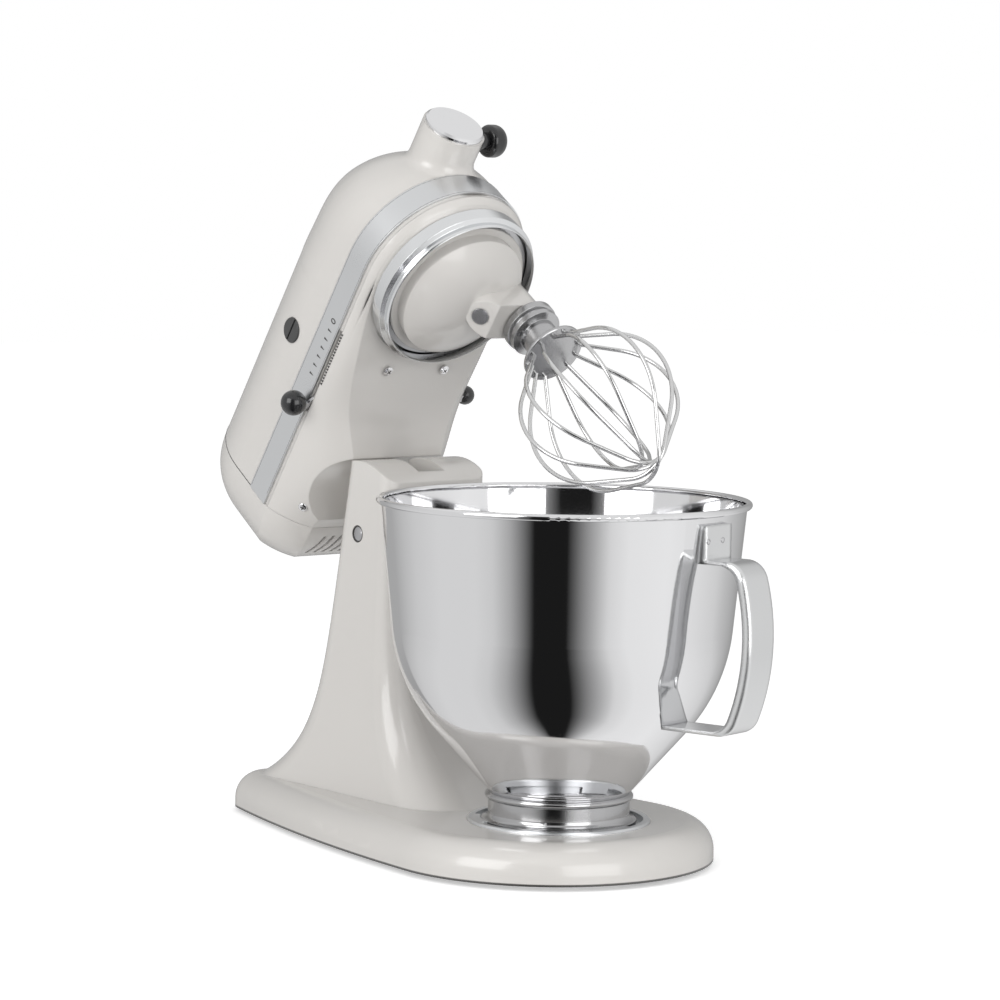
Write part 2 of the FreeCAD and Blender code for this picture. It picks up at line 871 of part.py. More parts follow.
def nose_section(body, step, inset):
    """The housing in section at one step of the nose: it narrows as a circle and its top slopes."""
    place = S.head_half * step if step > 0 else S.brow_behind * step
    round_off = math.sqrt(1 - step**2) if step > 0 else 1
    half = S.head_half * round_off - inset
    slope = (place + S.brow_behind) / (S.head_half + S.brow_behind)
    shoulder = S.head_shoulder - S.brow_drop * slope**2
    corners = [
        (-half, S.split_height),
        (half, S.split_height),
        (half, shoulder),
        (0, shoulder + half, half),
        (-half, shoulder, half),
    ]
    return outline(body, "YZ_Plane", corners, place)


def upper_housing():
    body = named_body("upper_housing")
    half = S.head_half
    inner = half - S.head_wall
    barrel = outline(body, "YZ_Plane", loaf(half, half, S.split_height), -S.brow_behind)
    pad(body, barrel, S.seam_behind - S.brow_behind, back=True)
    loft("Additive", body, [nose_section(body, step, sized(0)) for step in NOSE_STEPS])
    hub = disc(body, "YZ_Plane", S.hub_radius, 0, S.hub_height, half / 2)
    pad(body, hub, S.hub_face - half / 2)
    round_edges(body, S.hub_round, on_hub_root)
    rebate = half - S.air_gap
    band_top = S.band_bottom + S.band_height
    band_way = [
        (rebate, S.split_height), (S.hub_face, S.split_height),
        (S.hub_face, band_top), (rebate, band_top),
    ]
    groove(body, outline(body, "XZ_Plane", band_way), angle=180)
    for side in (-1, 1):
        strip = [
            (rebate * side, S.split_height), (S.hub_face * side, S.split_height),
            (S.hub_face * side, band_top), (rebate * side, band_top),
        ]
        pocket(body, outline(body, "YZ_Plane", strip), S.seam_behind)
    hollow = outline(body, "YZ_Plane", loaf(inner, inner, S.split_height), -S.brow_behind)
    pocket(body, hollow, S.seam_behind)
    steps = [step for step in NOSE_STEPS if step < 0.9]
    loft("Subtractive", body, [nose_section(body, step, S.head_wall) for step in steps])
    bore = disc(body, "YZ_Plane", S.hub_bore, 0, S.hub_height, S.hub_face)
    pocket(body, bore, S.hub_face - half / 2)
    stud = disc(body, "XZ_Plane", S.knob_stud + S.running_gap,
                S.hub_face - S.knob_behind_face, S.hub_height)
    pocket(body, stud, S.hub_radius * 2)
    brush = disc(body, "XZ_Plane", S.brush_cap_radius + S.seat_gap, -S.brush_behind, S.hub_height)
    pocket(body, brush, half * 4, both=True)
    lever_slot(body, -S.lever_rest, S.lever_travel, -half)
    lever_slot(body, -S.lock_rest, S.lock_travel, half)
    in_head(body)


def on_hub_root(edge):
    """True for an edge that runs round the hub where it leaves the nose."""
    box = edge.BoundBox
    if box.XMin < S.head_half.value * 0.7 or box.XMax > S.hub_face.value - 1:
        return False
    away = [math.hypot(point.y, point.z - S.hub_height.value) for point in edge.discretize(5)]
    return all(abs(distance - S.hub_radius.value) < 0.1 for distance in away)


def lever_slot(body, start, travel, wall):
    """A slit along the lower edge of the housing that a lever slides in."""
    play = S.lever_width / 2 + S.slot_play * 3
    rear = start - play - S.lever_sweep
    front = start + travel + play
    corners = [
        (rear, wall - S.head_wall * 2),
        (front, wall - S.head_wall * 2),
        (front, wall + S.head_wall * 2),
        (rear, wall + S.head_wall * 2),
    ]
    slit = outline(body, "XY_Plane", corners, S.split_height)
    pocket(body, slit, S.lever_thick + S.slot_play * 2, back=True)


def belly_section(body, behind, bottom, half):
    """The gearcase in section: a flat bottom with round flanks up to the split."""
    inset = S.head_half - half
    drop = S.split_height - bottom
    flank = (inset**2 + drop**2) / (inset * 2) * S.flank_ease
    corners = [
        (-S.head_half, S.split_height),
        (-half, bottom, flank),
        (half, bottom),
        (S.head_half, S.split_height, flank),
    ]
    return outline(body, "YZ_Plane", corners, -behind)


def lower_gearcase():
    body = named_body("lower_gearcase")
    half = S.head_half
    nose_half = half - S.nose_round
    stations = [
        (sized(0), S.nose_bottom, nose_half),
        (S.throat_behind, S.throat_bottom, S.throat_half),
        (S.screw_behind, S.screw_bottom, S.screw_half),
        (S.chin_behind, S.chin_bottom, S.chin_half),
        (S.lip_behind, S.lip_bottom, S.lip_half),
        (S.hinge_behind, S.saddle_bottom, S.saddle_half),
        (S.seam_behind, S.tail_bottom, S.tail_half),
    ]
    loft("Additive", body, [belly_section(body, *station) for station in stations])
    drop = S.split_height - S.nose_bottom
    flank = (S.nose_round**2 + drop**2) / (S.nose_round * 2) * S.flank_ease
    nose = [
        (0, S.nose_bottom), (nose_half, S.nose_bottom), (half, S.split_height, flank),
        (0, S.split_height),
    ]
    spin(body, outline(body, "XZ_Plane", nose), angle=180)
    pocket(body, disc(body, "XY_Plane", S.ring_top_radius + S.air_gap, 0, 0, S.nose_bottom), drop)
    saddle = disc(body, "XZ_Plane", S.ear_radius + S.saddle_gap, HINGE_X, HINGE_Z)
    pocket(body, saddle, half * 4, both=True)
    lug = [
        (HINGE_X + S.lug_radius, HINGE_Z),
        (HINGE_X + S.lug_radius, S.case_floor),
        (HINGE_X - S.lug_radius, S.case_floor),
        (HINGE_X - S.lug_radius, HINGE_Z),
        (HINGE_X, HINGE_Z - S.lug_radius, S.lug_radius),
        (HINGE_X + S.lug_radius, HINGE_Z, S.lug_radius),
    ]
    pad(body, outline(body, "XZ_Plane", lug[1:]), S.ear_slot - S.lug_play * 2, both=True)
    bore = disc(body, "XZ_Plane", S.hinge_pin_radius + S.running_gap, HINGE_X, HINGE_Z)
    pocket(body, bore, S.ear_slot * 2, both=True)
    inner = half - S.head_wall
    cavity = [
        (0, inner, inner), (-S.seam_behind, inner), (-S.seam_behind, -inner), (0, -inner),
        (inner, 0, inner),
    ]
    pocket(body, outline(body, "XY_Plane", cavity, S.split_height), S.split_height - S.case_floor)
    shaft = disc(body, "XY_Plane", S.bush_radius + S.seat_gap, 0, 0, S.split_height)
    pocket(body, shaft, half)
    foot = disc(body, "XY_Plane", S.wheel_shaft + S.running_gap, *WHEEL_PLACE, S.split_height)
    pocket(body, foot, S.split_height - S.throat_bottom - S.head_wall / 4)
    for side in (-1, 1):
        hole = disc(body, "XY_Plane", S.screw_radius * 0.6 + S.seat_gap, -S.screw_place,
                    S.screw_spread * side, S.split_height)
        pocket(body, hole, half)
    in_head(body)


COVER_STEPS = (0, 0.25, 0.5, 0.7, 0.85, 0.95)


def cover_section(body, step, inset):
    """The rear cover in section, shrinking evenly towards its blunt end."""
    shrink = (1 - step ** S.cover_power.value) ** (1 / S.cover_power.value)
    half = (S.head_half - inset) * shrink
    bottom_half = (S.tail_half - inset) * shrink
    middle = S.cover_centre

    def level(height):
        return middle + (height - middle) * shrink

    bottom = level(S.tail_bottom + inset)
    split = level(S.split_height)
    shoulder = level(S.head_shoulder)
    run = half - bottom_half
    drop = split - bottom
    flank = (run**2 + drop**2) / (run * 2) * S.flank_ease
    corners = [
        (-half, split),
        (-bottom_half, bottom, flank),
        (bottom_half, bottom),
        (half, split, flank),
        (half, shoulder),
        (0, shoulder + half, half),
        (-half, shoulder, half),
    ]
    place = -S.seam_behind - (S.cover_length - inset) * step
    return outline(body, "YZ_Plane", corners, place)


def rear_cover():
    body = named_body("rear_cover")
    loft("Additive", body, [cover_section(body, step, sized(0)) for step in COVER_STEPS])
    loft("Subtractive", body, [cover_section(body, step, S.cover_wall) for step in COVER_STEPS])
    start = -S.seam_behind - S.vent_start
    end = start - S.vent_length
    first = -S.vent_pitch * (S.vent_count - 1) / 2
    lean = S.vent_length / 3
    slit = [
        (start, first + lean / 2),
        (end, first - lean / 2),
        (end, first - lean / 2 + S.vent_width),
        (start, first + lean / 2 + S.vent_width),
    ]
    deep = S.cover_centre - S.tail_bottom
    cut = pocket(body, outline(body, "XY_Plane", slit, S.cover_centre), deep * 1.5)
    along(body, cut, S.vent_count, S.vent_pitch, "Y_Axis")
    in_head(body)


def trim_band():
    """The bright band that wraps the head along the split."""
    body = named_body("trim_band")
    inner = S.head_half - S.air_gap + S.seat_gap
    outer = S.head_half + S.band_thick
    end = -S.seam_behind
    loop = [
        (end, -outer), (0, -outer), (outer, 0, outer), (0, outer, outer), (end, outer),
        (end, inner), (0, inner), (inner, 0, -inner), (0, -inner, -inner), (end, -inner),
    ]
    pad(body, outline(body, "XY_Plane", loop, S.band_bottom), S.band_height)
    in_head(body)


def drip_ring():
    top = S.nose_bottom
    outer = S.ring_top_radius
    wall = S.ring_wall
    lip = S.ring_lip_radius
    inner = lip - wall
    body = turned_part("drip_ring", [
        (inner, top), (inner, S.ring_lip + S.ring_bead), (lip - S.ring_bead / 2, S.ring_lip),
        (lip, S.ring_lip + S.ring_bead, S.ring_bead * 2), (lip - wall / 3, S.ring_step),
        (outer, S.ring_step + wall), (outer, top),
    ])
    in_head(body)


def hub_cap():
    face = S.hub_face + S.cap_thick
    radius = S.cap_radius
    plug = S.hub_bore - S.running_gap
    body = turned_part("hub_cap", [
        (0, S.hub_face - S.cap_plug), (plug, S.hub_face - S.cap_plug), (plug, S.hub_face),
        (radius, S.hub_face), (radius, face - S.cap_bevel), (radius - S.cap_bevel, face), (0, face),
    ], "x")
    in_head(body, 0, 0, S.hub_height)


def attachment_knob():
    tip = S.hub_bore + S.air_gap
    base = S.hub_radius + S.air_gap
    neck = S.knob_neck
    head = S.knob_radius
    start = base + S.knob_stand
    end = start + S.knob_length
    crown = S.knob_length / 2
    edge = S.knob_length / 4
    body = turned_part("attachment_knob", [
        (0, tip), (S.knob_stud, tip), (S.knob_stud, base), (neck * 1.25, base),
        (neck * 1.25, base + 2), (neck, base + 2.6), (neck, start), (head - edge, start),
        (head, start + edge, edge), (head, end - crown), (head - crown, end, crown), (0, end),
    ], "y")
    in_head(body, S.hub_face - S.knob_behind_face, 0, S.hub_height)


def brush_caps():
    inner = S.head_half - S.brush_cap_depth
    outer = S.head_half + S.brush_cap_proud
    radius = S.brush_cap_radius
    pieces = []
    for side in (-1, 1):
        piece = DOC.addObject("PartDesign::Body", "brush_cap")
        rings = [(0, inner * side), (radius, inner * side), (radius, (outer - 0.6) * side),
                 (radius - 0.6, outer * side), (0, outer * side)]
        spin(piece, outline(piece, "XY_Plane", rings))
        cut = [(-radius * 1.1, (outer - 1.2) * side), (radius * 1.1, (outer - 1.2) * side),
               (radius * 1.1, (outer + 1) * side), (-radius * 1.1, (outer + 1) * side)]
        pocket(piece, outline(piece, "XY_Plane", cut), 1.4, both=True)
        in_head(piece, -S.brush_behind, 0, S.hub_height)
        pieces.append(piece)
    group_of("brush_caps", pieces)


def case_screws():
    head = S.screw_radius
    shank = head * 0.6
    bottom = S.throat_bottom - 3.6
    top = S.case_floor + S.screw_length
    pieces = []
    for side in (-1, 1):
        piece = lathe_piece([
            (0, bottom - 1.6), (head * 0.6, bottom - 1.6), (head, bottom - 0.8), (head, bottom),
            (shank, bottom), (shank, top), (0, top),
        ])
        in_head(piece, -S.screw_place, S.screw_spread * side, 0)
        pieces.append(piece)
    group_of("case_screws", pieces)


# Levers

def ball_lever(label, ball_label, rest, side, ball):
    """A flat steel arm through the housing's slit, swept back into a ball at its end."""
    half = S.head_half * side
    width = S.lever_width / 2
    narrow = S.lever_width / 3
    root_y = half - (S.head_wall + S.lever_inside) * side
    knee = half + S.lever_knee * side
    centre = half + (S.lever_knee + ball) * side
    grip = centre - (ball - S.ball_grip) * side
    back = -S.lever_sweep
    arm = [
        (-width, root_y), (width, root_y), (width, half - S.head_wall * side),
        (back + narrow, knee), (back + narrow, grip), (back - narrow, grip), (back - narrow, knee),
        (-width, half - S.head_wall * side),
    ]
    low = S.split_height + S.slot_play
    body = named_body(label)
    pad(body, outline(body, "XY_Plane", arm), S.lever_thick)
    in_head(body, -rest, 0, low)
    knob = named_body(ball_label)
    spin(knob, outline(knob, "XZ_Plane", [(0, -ball), (ball, 0, ball), (0, ball, ball)]))
    wide = narrow + S.seat_gap
    below = S.lever_rise + S.lever_thick / 2 + S.seat_gap
    above = below - S.lever_thick - S.seat_gap * 2
    slit = [(-wide, -below), (wide, -below), (wide, -above), (-wide, -above)]
    pocket(knob, outline(knob, "XZ_Plane", slit, (ball - S.ball_grip) * side), ball * 3, back=side > 0)
    in_head(knob, -rest + back, centre, low + S.lever_thick / 2 + S.lever_rise)


# Planetary drive

ORBIT = S.tooth_module * (S.ring_teeth - S.pinion_teeth) / 2
ADDENDUM = S.tooth_module * 0.8
DEDENDUM = S.tooth_module * 1.1
PITCH_HALF = S.tooth_module * (math.pi / 4) - S.tooth_play / 2
WHEEL_Y = S.worm_pitch_radius + S.tooth_module * S.wheel_teeth / 2
SPUR_DISTANCE = S.tooth_module * (S.spur_teeth + S.centre_teeth) / 2
WHEEL_PLACE = (-root(SPUR_DISTANCE**2 - WHEEL_Y**2), WHEEL_Y)


def tooth_outline(body, pitch, height):
    """One tooth with straight flanks, standing on +X of a gear of the given pitch radius."""
    tip = pitch + ADDENDUM
    low = pitch - DEDENDUM * 1.3
    tip_half = PITCH_HALF - ADDENDUM * 0.42
    low_half = PITCH_HALF + DEDENDUM * 1.3 * 0.3
    corners = [(low, -low_half), (tip, -tip_half), (tip, tip_half), (low, low_half)]
    return outline(body, "XY_Plane", corners, height)


def spur_gear(body, teeth, height, face, bore):
    """An outside gear on a hub with a bore, teeth standing on its root circle."""
    pitch = S.tooth_module * teeth / 2
    pad(body, disc(body, "XY_Plane", pitch - DEDENDUM, 0, 0, height), face)
    around(body, pad(body, tooth_outline(body, pitch, height), face), teeth)
    pocket(body, disc(body, "XY_Plane", bore, 0, 0, height), face, back=True)


def ring_gear():
    body = named_body("ring_gear")
    pitch = S.tooth_module * S.ring_teeth / 2
    low = S.nose_bottom - S.gear_face
    tip = pitch - ADDENDUM
    rim = pitch + DEDENDUM
    pad(body, disc(body, "XY_Plane", rim + S.ring_gear_wall, 0, 0, low), S.gear_face)
    pocket(body, disc(body, "XY_Plane", tip, 0, 0, low), S.gear_face, back=True)
    gap_tip = PITCH_HALF + S.tooth_play - DEDENDUM * 0.42
    gap_low = PITCH_HALF + S.tooth_play + ADDENDUM * 1.5 * 0.3
    gap = [
        (tip - ADDENDUM / 2, -gap_low), (rim, -gap_tip), (rim, gap_tip), (tip - ADDENDUM / 2, gap_low),
    ]
    cut = pocket(body, outline(body, "XY_Plane", gap, low), S.gear_face, back=True)
    around(body, cut, S.ring_teeth)
    in_head(body)


def planetary_housing():
    """A painted dome with the arm that carries the beater shaft, cut slanting at its inner end."""
    body = named_body("planetary_housing")
    top = S.nose_bottom - S.gear_face - S.air_gap
    rim_low = top - S.dome_rim
    flange_low = top - S.dome_flange
    radius = S.dome_radius
    crown = rim_low - S.dome_depth
    boss_top = S.nose_bottom - S.air_gap
    dome_bend = (radius**2 + S.dome_depth**2) / (S.dome_depth * 2)
    arm = [
        (S.arm_half, ORBIT), (0, ORBIT + S.arm_half, S.arm_half), (-S.arm_half, ORBIT, S.arm_half),
        (-S.arm_half, -S.arm_back), (0, -S.arm_back - S.arm_half, S.arm_half),
        (S.arm_half, -S.arm_back, S.arm_half),
    ]
    pad(body, outline(body, "XY_Plane", arm, S.arm_bottom), rim_low - S.arm_bottom)
    slope = S.arm_back + S.arm_half
    chamfer = [
        (-slope - 1, S.arm_bottom - 1), (-slope + S.arm_half, S.arm_bottom - 1),
        (-slope + S.arm_half, S.arm_bottom), (-slope, S.arm_bottom + S.arm_half),
        (-slope - 1, S.arm_bottom + S.arm_half),
    ]
    pocket(body, outline(body, "YZ_Plane", chamfer), S.arm_half * 4, both=True)
    spin(body, outline(body, "XZ_Plane", [
        (0, crown), (radius, rim_low, dome_bend), (radius, flange_low),
        (S.flange_radius, flange_low), (S.flange_radius, top), (S.boss_radius, top), (S.boss_radius, boss_top), (0, boss_top),
    ]))
    pocket(body, disc(body, "XY_Plane", S.shaft_radius, 0, 0, boss_top), boss_top - crown - S.dome_rim)
    hole = disc(body, "XY_Plane", S.beater_radius + S.running_gap, 0, ORBIT, top)
    pocket(body, hole, top)
    pocket(body, plug_seat(body, S.plug_radius + S.seat_gap), S.plug_deep)
    in_head(body)


def plug_seat(body, radius):
    """A round outline on the sloping end of the arm, facing out of it."""
    sketch = disc(body, "XY_Plane", radius)
    sketch.AttachmentOffset = FreeCAD.Placement(Vector(), FreeCAD.Rotation(Vector(1, 0, 0), 135))
    bind(sketch, "AttachmentOffset.Base.y", -S.arm_back - S.arm_half / 2)
    bind(sketch, "AttachmentOffset.Base.z", S.arm_bottom + S.arm_half / 2)
    return sketch


def planetary_plug():
    """The bright plug on the sloping end of the arm."""
    body = named_body("planetary_plug")
    pad(body, plug_seat(body, S.plug_radius), S.plug_proud)
    pad(body, plug_seat(body, S.plug_radius), S.plug_deep, back=True)
    in_head(body)


def centre_shaft():
    low = S.nose_bottom - S.gear_face - S.air_gap - S.dome_rim - S.dome_depth + S.dome_rim
    top = BEVEL_TOP + S.bracket_thick
    radius = S.shaft_radius
    body = turned_part("centre_shaft", [
        (0, low), (radius, low), (radius, top - 1), (radius - 1, top), (0, top),
    ])
    in_head(body)


def centre_bush():
    low = S.nose_bottom
    top = S.case_floor
    inner = S.shaft_radius + S.running_gap
    body = turned_part("centre_bush", [
        (inner, low), (S.bush_radius, low), (S.bush_radius, top), (S.bush_flange, top),
        (S.bush_flange, top + S.bush_flange_thick), (inner, top + S.bush_flange_thick),
    ])
    in_head(body)


def pinion_gear():
    body = named_body("pinion_gear")
    low = S.nose_bottom - S.gear_face
    spur_gear(body, S.pinion_teeth, sized(0), S.gear_face - S.air_gap, S.beater_radius)
    in_beater(body, low)


def beater_shaft():
    top = S.nose_bottom - S.air_gap
    radius = S.beater_radius
    end = S.beater_end
    body = turned_part("beater_shaft", [
        (0, end), (radius - 1, end), (radius, end + 1), (radius, top), (0, top),
    ])
    pin = disc(body, "XZ_Plane", S.cross_pin_radius, 0, S.cross_pin_height)
    pocket(body, pin, radius * 4, both=True)
    in_beater(body, 0)


def beater_pin():
    half = S.cross_pin_length / 2
    radius = S.cross_pin_radius
    body = turned_part("beater_pin", [
        (0, -half), (radius - 0.4, -half), (radius, -half + 0.4), (radius, half - 0.4),
        (radius - 0.4, half), (0, half),
    ], "y")
    in_beater(body, S.cross_pin_height)


# Whip

def whip_hub():
    top = S.whip_collar_top
    collar = S.whip_collar_radius
    groove_z = top - S.whip_collar_height
    disc_low = S.whip_disc_bottom
    disc_top = disc_low + S.whip_disc_thick
    bore = S.beater_radius + S.running_gap
    waist = S.whip_waist
    body = turned_part("whip_hub", [
        (bore, top), (bore, S.beater_end - S.air_gap), (0, S.beater_end - S.air_gap), (0, disc_low),
        (S.whip_disc_radius - 0.6, disc_low), (S.whip_disc_radius, disc_low + 0.6),
        (S.whip_disc_radius, disc_top), (waist + 3, disc_top),
        (waist, disc_top + 4, -5), (waist, groove_z - S.whip_collar_height),
        (collar - 0.8, groove_z - S.whip_collar_height + 1), (collar - 0.8, groove_z - 1.6),
        (collar - 2.4, groove_z - 0.8), (collar - 2.4, groove_z), (collar, groove_z + 0.8),
        (collar, top - 1), (collar - 1, top),
    ])
    pin = disc(body, "XZ_Plane", S.cross_pin_radius + S.running_gap, 0, S.cross_pin_height)
    pocket(body, pin, collar * 4, both=True)
    exits = disc(body, "XY_Plane", S.wire_radius + S.seat_gap, S.wire_exit, 0, disc_top)
    around(body, pocket(body, exits, S.whip_disc_thick), S.loop_count * 2)
    in_beater(body, 0)


def whip_side(number):
    """Half of one wire as (out, up) points: a straight neck, the bulb, a straight flank and the tip."""
    tip = S.whip_tip.value + S.wire_step.value * number
    bulb = S.whip_bulb.value - S.bulb_step.value * number
    end = S.whip_end_radius.value
    flank_turn = math.radians(S.whip_end_angle.value)
    neck_turn = math.radians(S.whip_neck_angle.value)
    neck_way = Vector(math.sin(neck_turn), 0, -math.cos(neck_turn))
    flank_way = Vector(math.cos(flank_turn), 0, math.sin(flank_turn))
    leave = Vector(S.wire_exit.value, 0, S.whip_disc_bottom.value - S.wire_radius.value)
    end_point = Vector(end * math.sin(flank_turn), 0, tip + end * (1 - math.cos(flank_turn)))
    apart = leave - end_point
    crossing = flank_way.x * neck_way.z - flank_way.z * neck_way.x
    corner = leave + neck_way * ((apart.x * flank_way.z - apart.z * flank_way.x) / crossing)
    tangent = bulb * math.tan((math.pi - math.acos(neck_way.dot(flank_way))) / 2)
    meet = corner - neck_way * tangent
    flank = corner - flank_way * tangent
    centre = meet + Vector(neck_way.z, 0, -neck_way.x) * bulb
    bulge = centre + (corner - centre).normalize() * bulb
    rise = leave + UP * (S.whip_disc_thick.value * 0.7 + S.wire_radius.value)
    return rise, leave, meet, bulge, flank, end_point, Vector(0, 0, tip)


def whip_loop(number):
    """One wire: down from the disc, round the bulb and back up the other side."""
    near = whip_side(number)
    far = [Vector(-point.x, 0, point.z) for point in near]
    rise, leave, meet, bulge, flank, end_point, tip = near
    edges = [
        Part.LineSegment(rise, leave).toShape(),
        Part.LineSegment(leave, meet).toShape(),
        Part.Arc(meet, bulge, flank).toShape(),
        Part.LineSegment(flank, end_point).toShape(),
        Part.Arc(end_point, tip, far[5]).toShape(),
        Part.LineSegment(far[5], far[4]).toShape(),
        Part.Arc(far[4], far[3], far[2]).toShape(),
        Part.LineSegment(far[2], far[1]).toShape(),
        Part.LineSegment(far[1], far[0]).toShape(),
    ]
    path = Part.Wire(edges)
    ring = Part.Wire(Part.Circle(rise, UP, S.wire_radius.value).toShape())
    loop = path.makePipeShell([ring], True, False, 1)
    loop.rotate(Vector(), UP, 180 * number / S.loop_count.value)
    return loop


def whip_wires():
    loops = [whip_loop(number) for number in range(int(S.loop_count.value))]
    wires = DOC.addObject("Part::Feature", "whip_wires")
    wires.Label = "whip_wires"
    wires.Shape = Part.makeCompound(loops)
    PARTS.append(wires)
    in_beater(wires, 0)


# Gear train and motor

BEVEL_TOP = S.hub_height - S.hub_bevel_radius * 0.55
HUB_AXIS = S.hub_height


def centre_gear():
    body = named_body("centre_gear")
    spur_gear(body, S.centre_teeth, sized(0), S.spur_face, S.shaft_radius)
    in_head(body, 0, 0, S.spur_height)


def centre_bevel_gear():
    wide = S.hub_bevel_radius * S.cone_ratio
    low = S.spur_height + S.spur_face + S.air_gap
    rim = HUB_AXIS - S.hub_bevel_radius - S.air_gap
    slope = S.bevel_face / S.cone_ratio * 0.7
    body = turned_part("centre_bevel_gear", [
        (S.shaft_radius, low), (S.shaft_radius * 1.8, low), (wide, rim - S.tooth_module * 2),
        (wide, rim), (wide - S.bevel_face, rim + slope), (S.shaft_radius, rim + slope),
    ])
    in_head(body)


def hub_drive():
    """The square socket that turns an attachment, with its bevel gear at the inner end."""
    wide = S.hub_bevel_radius
    back = S.hub_bevel_radius * S.cone_ratio
    slope = S.bevel_face * 0.7
    sleeve = S.socket_radius
    face = S.hub_face - S.hub_bore_depth + S.bearing_width
    body = turned_part("hub_drive", [
        (0, back - slope * 0.6), (wide - slope, back - slope * 0.6), (wide, back + S.air_gap),
        (wide, back + 3), (sleeve, back + 6), (sleeve, face), (0, face),
    ], "x")
    side = S.socket_square / 2
    square = [(-side, -side), (side, -side), (side, side), (-side, side)]
    pocket(body, outline(body, "YZ_Plane", square, face), face - back - 6)
    in_head(body, 0, 0, HUB_AXIS)


def hub_bearing():
    inner = S.socket_radius + S.running_gap
    outer = S.hub_bore - S.seat_gap
    start = S.hub_face - S.hub_bore_depth - S.bearing_width
    body = turned_part("hub_bearing", [
        (inner, start), (outer, start), (outer, start + S.bearing_width * 1.6),
        (inner, start + S.bearing_width * 1.6),
    ], "x")
    in_head(body, 0, 0, HUB_AXIS)


def worm_wheel():
    body = named_body("worm_wheel")
    spur_gear(body, S.wheel_teeth, -S.wheel_face / 2, S.wheel_face, S.wheel_shaft)
    in_head(body, *WHEEL_PLACE, HUB_AXIS)


def spur_pinion():
    body = named_body("spur_pinion")
    spur_gear(body, S.spur_teeth, sized(0), S.spur_face, S.wheel_shaft)
    in_head(body, *WHEEL_PLACE, S.spur_height)


def wheel_shaft():
    low = S.throat_bottom + S.head_wall / 2
    top = HUB_AXIS + S.wheel_face
    radius = S.wheel_shaft
    body = turned_part("wheel_shaft", [(0, low), (radius, low), (radius, top), (0, top)])
    in_head(body, *WHEEL_PLACE, 0)


def armature():
    """Shaft and core in one: worm end at the front, fan end at the rear."""
    radius = S.motor_shaft
    worm_start = -WHEEL_PLACE[0] - S.worm_length / 2
    worm_end = worm_start + S.worm_length
    front = S.bracket_place - S.bracket_thick
    core_end = S.core_start + S.core_length
    rear = S.rear_plate_place + S.bearing_width
    body = turned_part("armature", [
        (0, -front), (radius * 0.8, -front), (radius * 0.8, -worm_start), (S.worm_core, -worm_start),
        (S.worm_core, -worm_end), (radius, -worm_end), (radius, -S.core_start),
        (S.core_radius, -S.core_start), (S.core_radius, -core_end), (radius, -core_end),
        (radius, -rear), (0, -rear),
    ], "x")
    in_head(body, 0, 0, HUB_AXIS)


def commutator():
    start = S.brush_behind - S.commutator_length / 2
    body = turned_part("commutator", [
        (S.motor_shaft, -start), (S.commutator_radius, -start),
        (S.commutator_radius, -start - S.commutator_length),
        (S.motor_shaft, -start - S.commutator_length),
    ], "x")
    in_head(body, 0, 0, HUB_AXIS)


def motor_fan():
    body = named_body("motor_fan")
    place = -S.fan_start - S.fan_thick
    pad(body, disc(body, "YZ_Plane", S.fan_hub, 0, 0, place), S.fan_thick)
    pad(body, disc(body, "YZ_Plane", S.fan_radius, 0, 0, place), S.fan_thick / 5)
    vane = [
        (S.fan_hub * 0.8, -1), (S.fan_radius * 0.96, -3), (S.fan_radius * 0.96, -1), (S.fan_hub * 0.8, 1),
    ]
    around(body, pad(body, outline(body, "YZ_Plane", vane, place), S.fan_thick), S.fan_blades, "X_Axis")
    pocket(body, disc(body, "YZ_Plane", S.motor_shaft, 0, 0, place), S.fan_thick, back=True)
    in_head(body, 0, 0, HUB_AXIS)


def stator():
    body = named_body("stator")
    radius = S.head_half - S.head_wall - (S.hub_height - S.head_shoulder) - S.air_gap
    end = -S.core_start - S.core_length
    pad(body, disc(body, "YZ_Plane", radius, 0, 0, end), S.core_length)
    bore = disc(body, "YZ_Plane", S.core_radius + S.core_gap, 0, 0, end)
    pocket(body, bore, S.core_length, back=True)
    flat = [
        (-radius * 1.1, -radius * 1.1), (radius * 1.1, -radius * 1.1),
        (radius * 1.1, -S.stator_flat), (-radius * 1.1, -S.stator_flat),
    ]
    pocket(body, outline(body, "YZ_Plane", flat, end), S.core_length, back=True)
    in_head(body, 0, 0, HUB_AXIS)


def bearing_plate(label, place, low, high):
    """A plate across the housing that carries one end of the motor shaft."""
    body = named_body(label)
    half = S.head_half - S.head_wall - S.air_gap
    edge = S.head_shoulder - S.hub_height - S.air_gap
    shape = [
        (-half, low), (half, low), (half, edge), (S.bearing_outer * 1.6, high),
        (-S.bearing_outer * 1.6, high), (-half, edge),
    ]
    pad(body, outline(body, "YZ_Plane", shape, -place), S.bracket_thick)
    hole = disc(body, "YZ_Plane", S.bearing_outer + S.seat_gap, 0, 0, -place)
    pocket(body, hole, S.bracket_thick, back=True)
    in_head(body, 0, 0, HUB_AXIS)


def bearing(label, place, inner):
    body = turned_part(label, [
        (inner + S.running_gap, -place), (S.bearing_outer, -place),
        (S.bearing_outer, -place + S.bracket_thick), (inner + S.running_gap, -place + S.bracket_thick),
    ], "x")
    in_head(body, 0, 0, HUB_AXIS)


def brushes():
    """A brass tube each side, from the cap in the housing to just off the commutator."""
    pieces = []
    inner = S.commutator_radius + S.core_gap
    outer = S.head_half - S.brush_cap_depth
    for side in (-1, 1):
        piece = lathe_piece([
            (0, inner * side), (S.brush_width / 2, inner * side), (S.brush_width / 2, outer * side),
            (0, outer * side),
        ], "y")
        in_head(piece, -S.brush_behind, 0, HUB_AXIS)
        pieces.append(piece)
    group_of("motor_brushes", pieces)


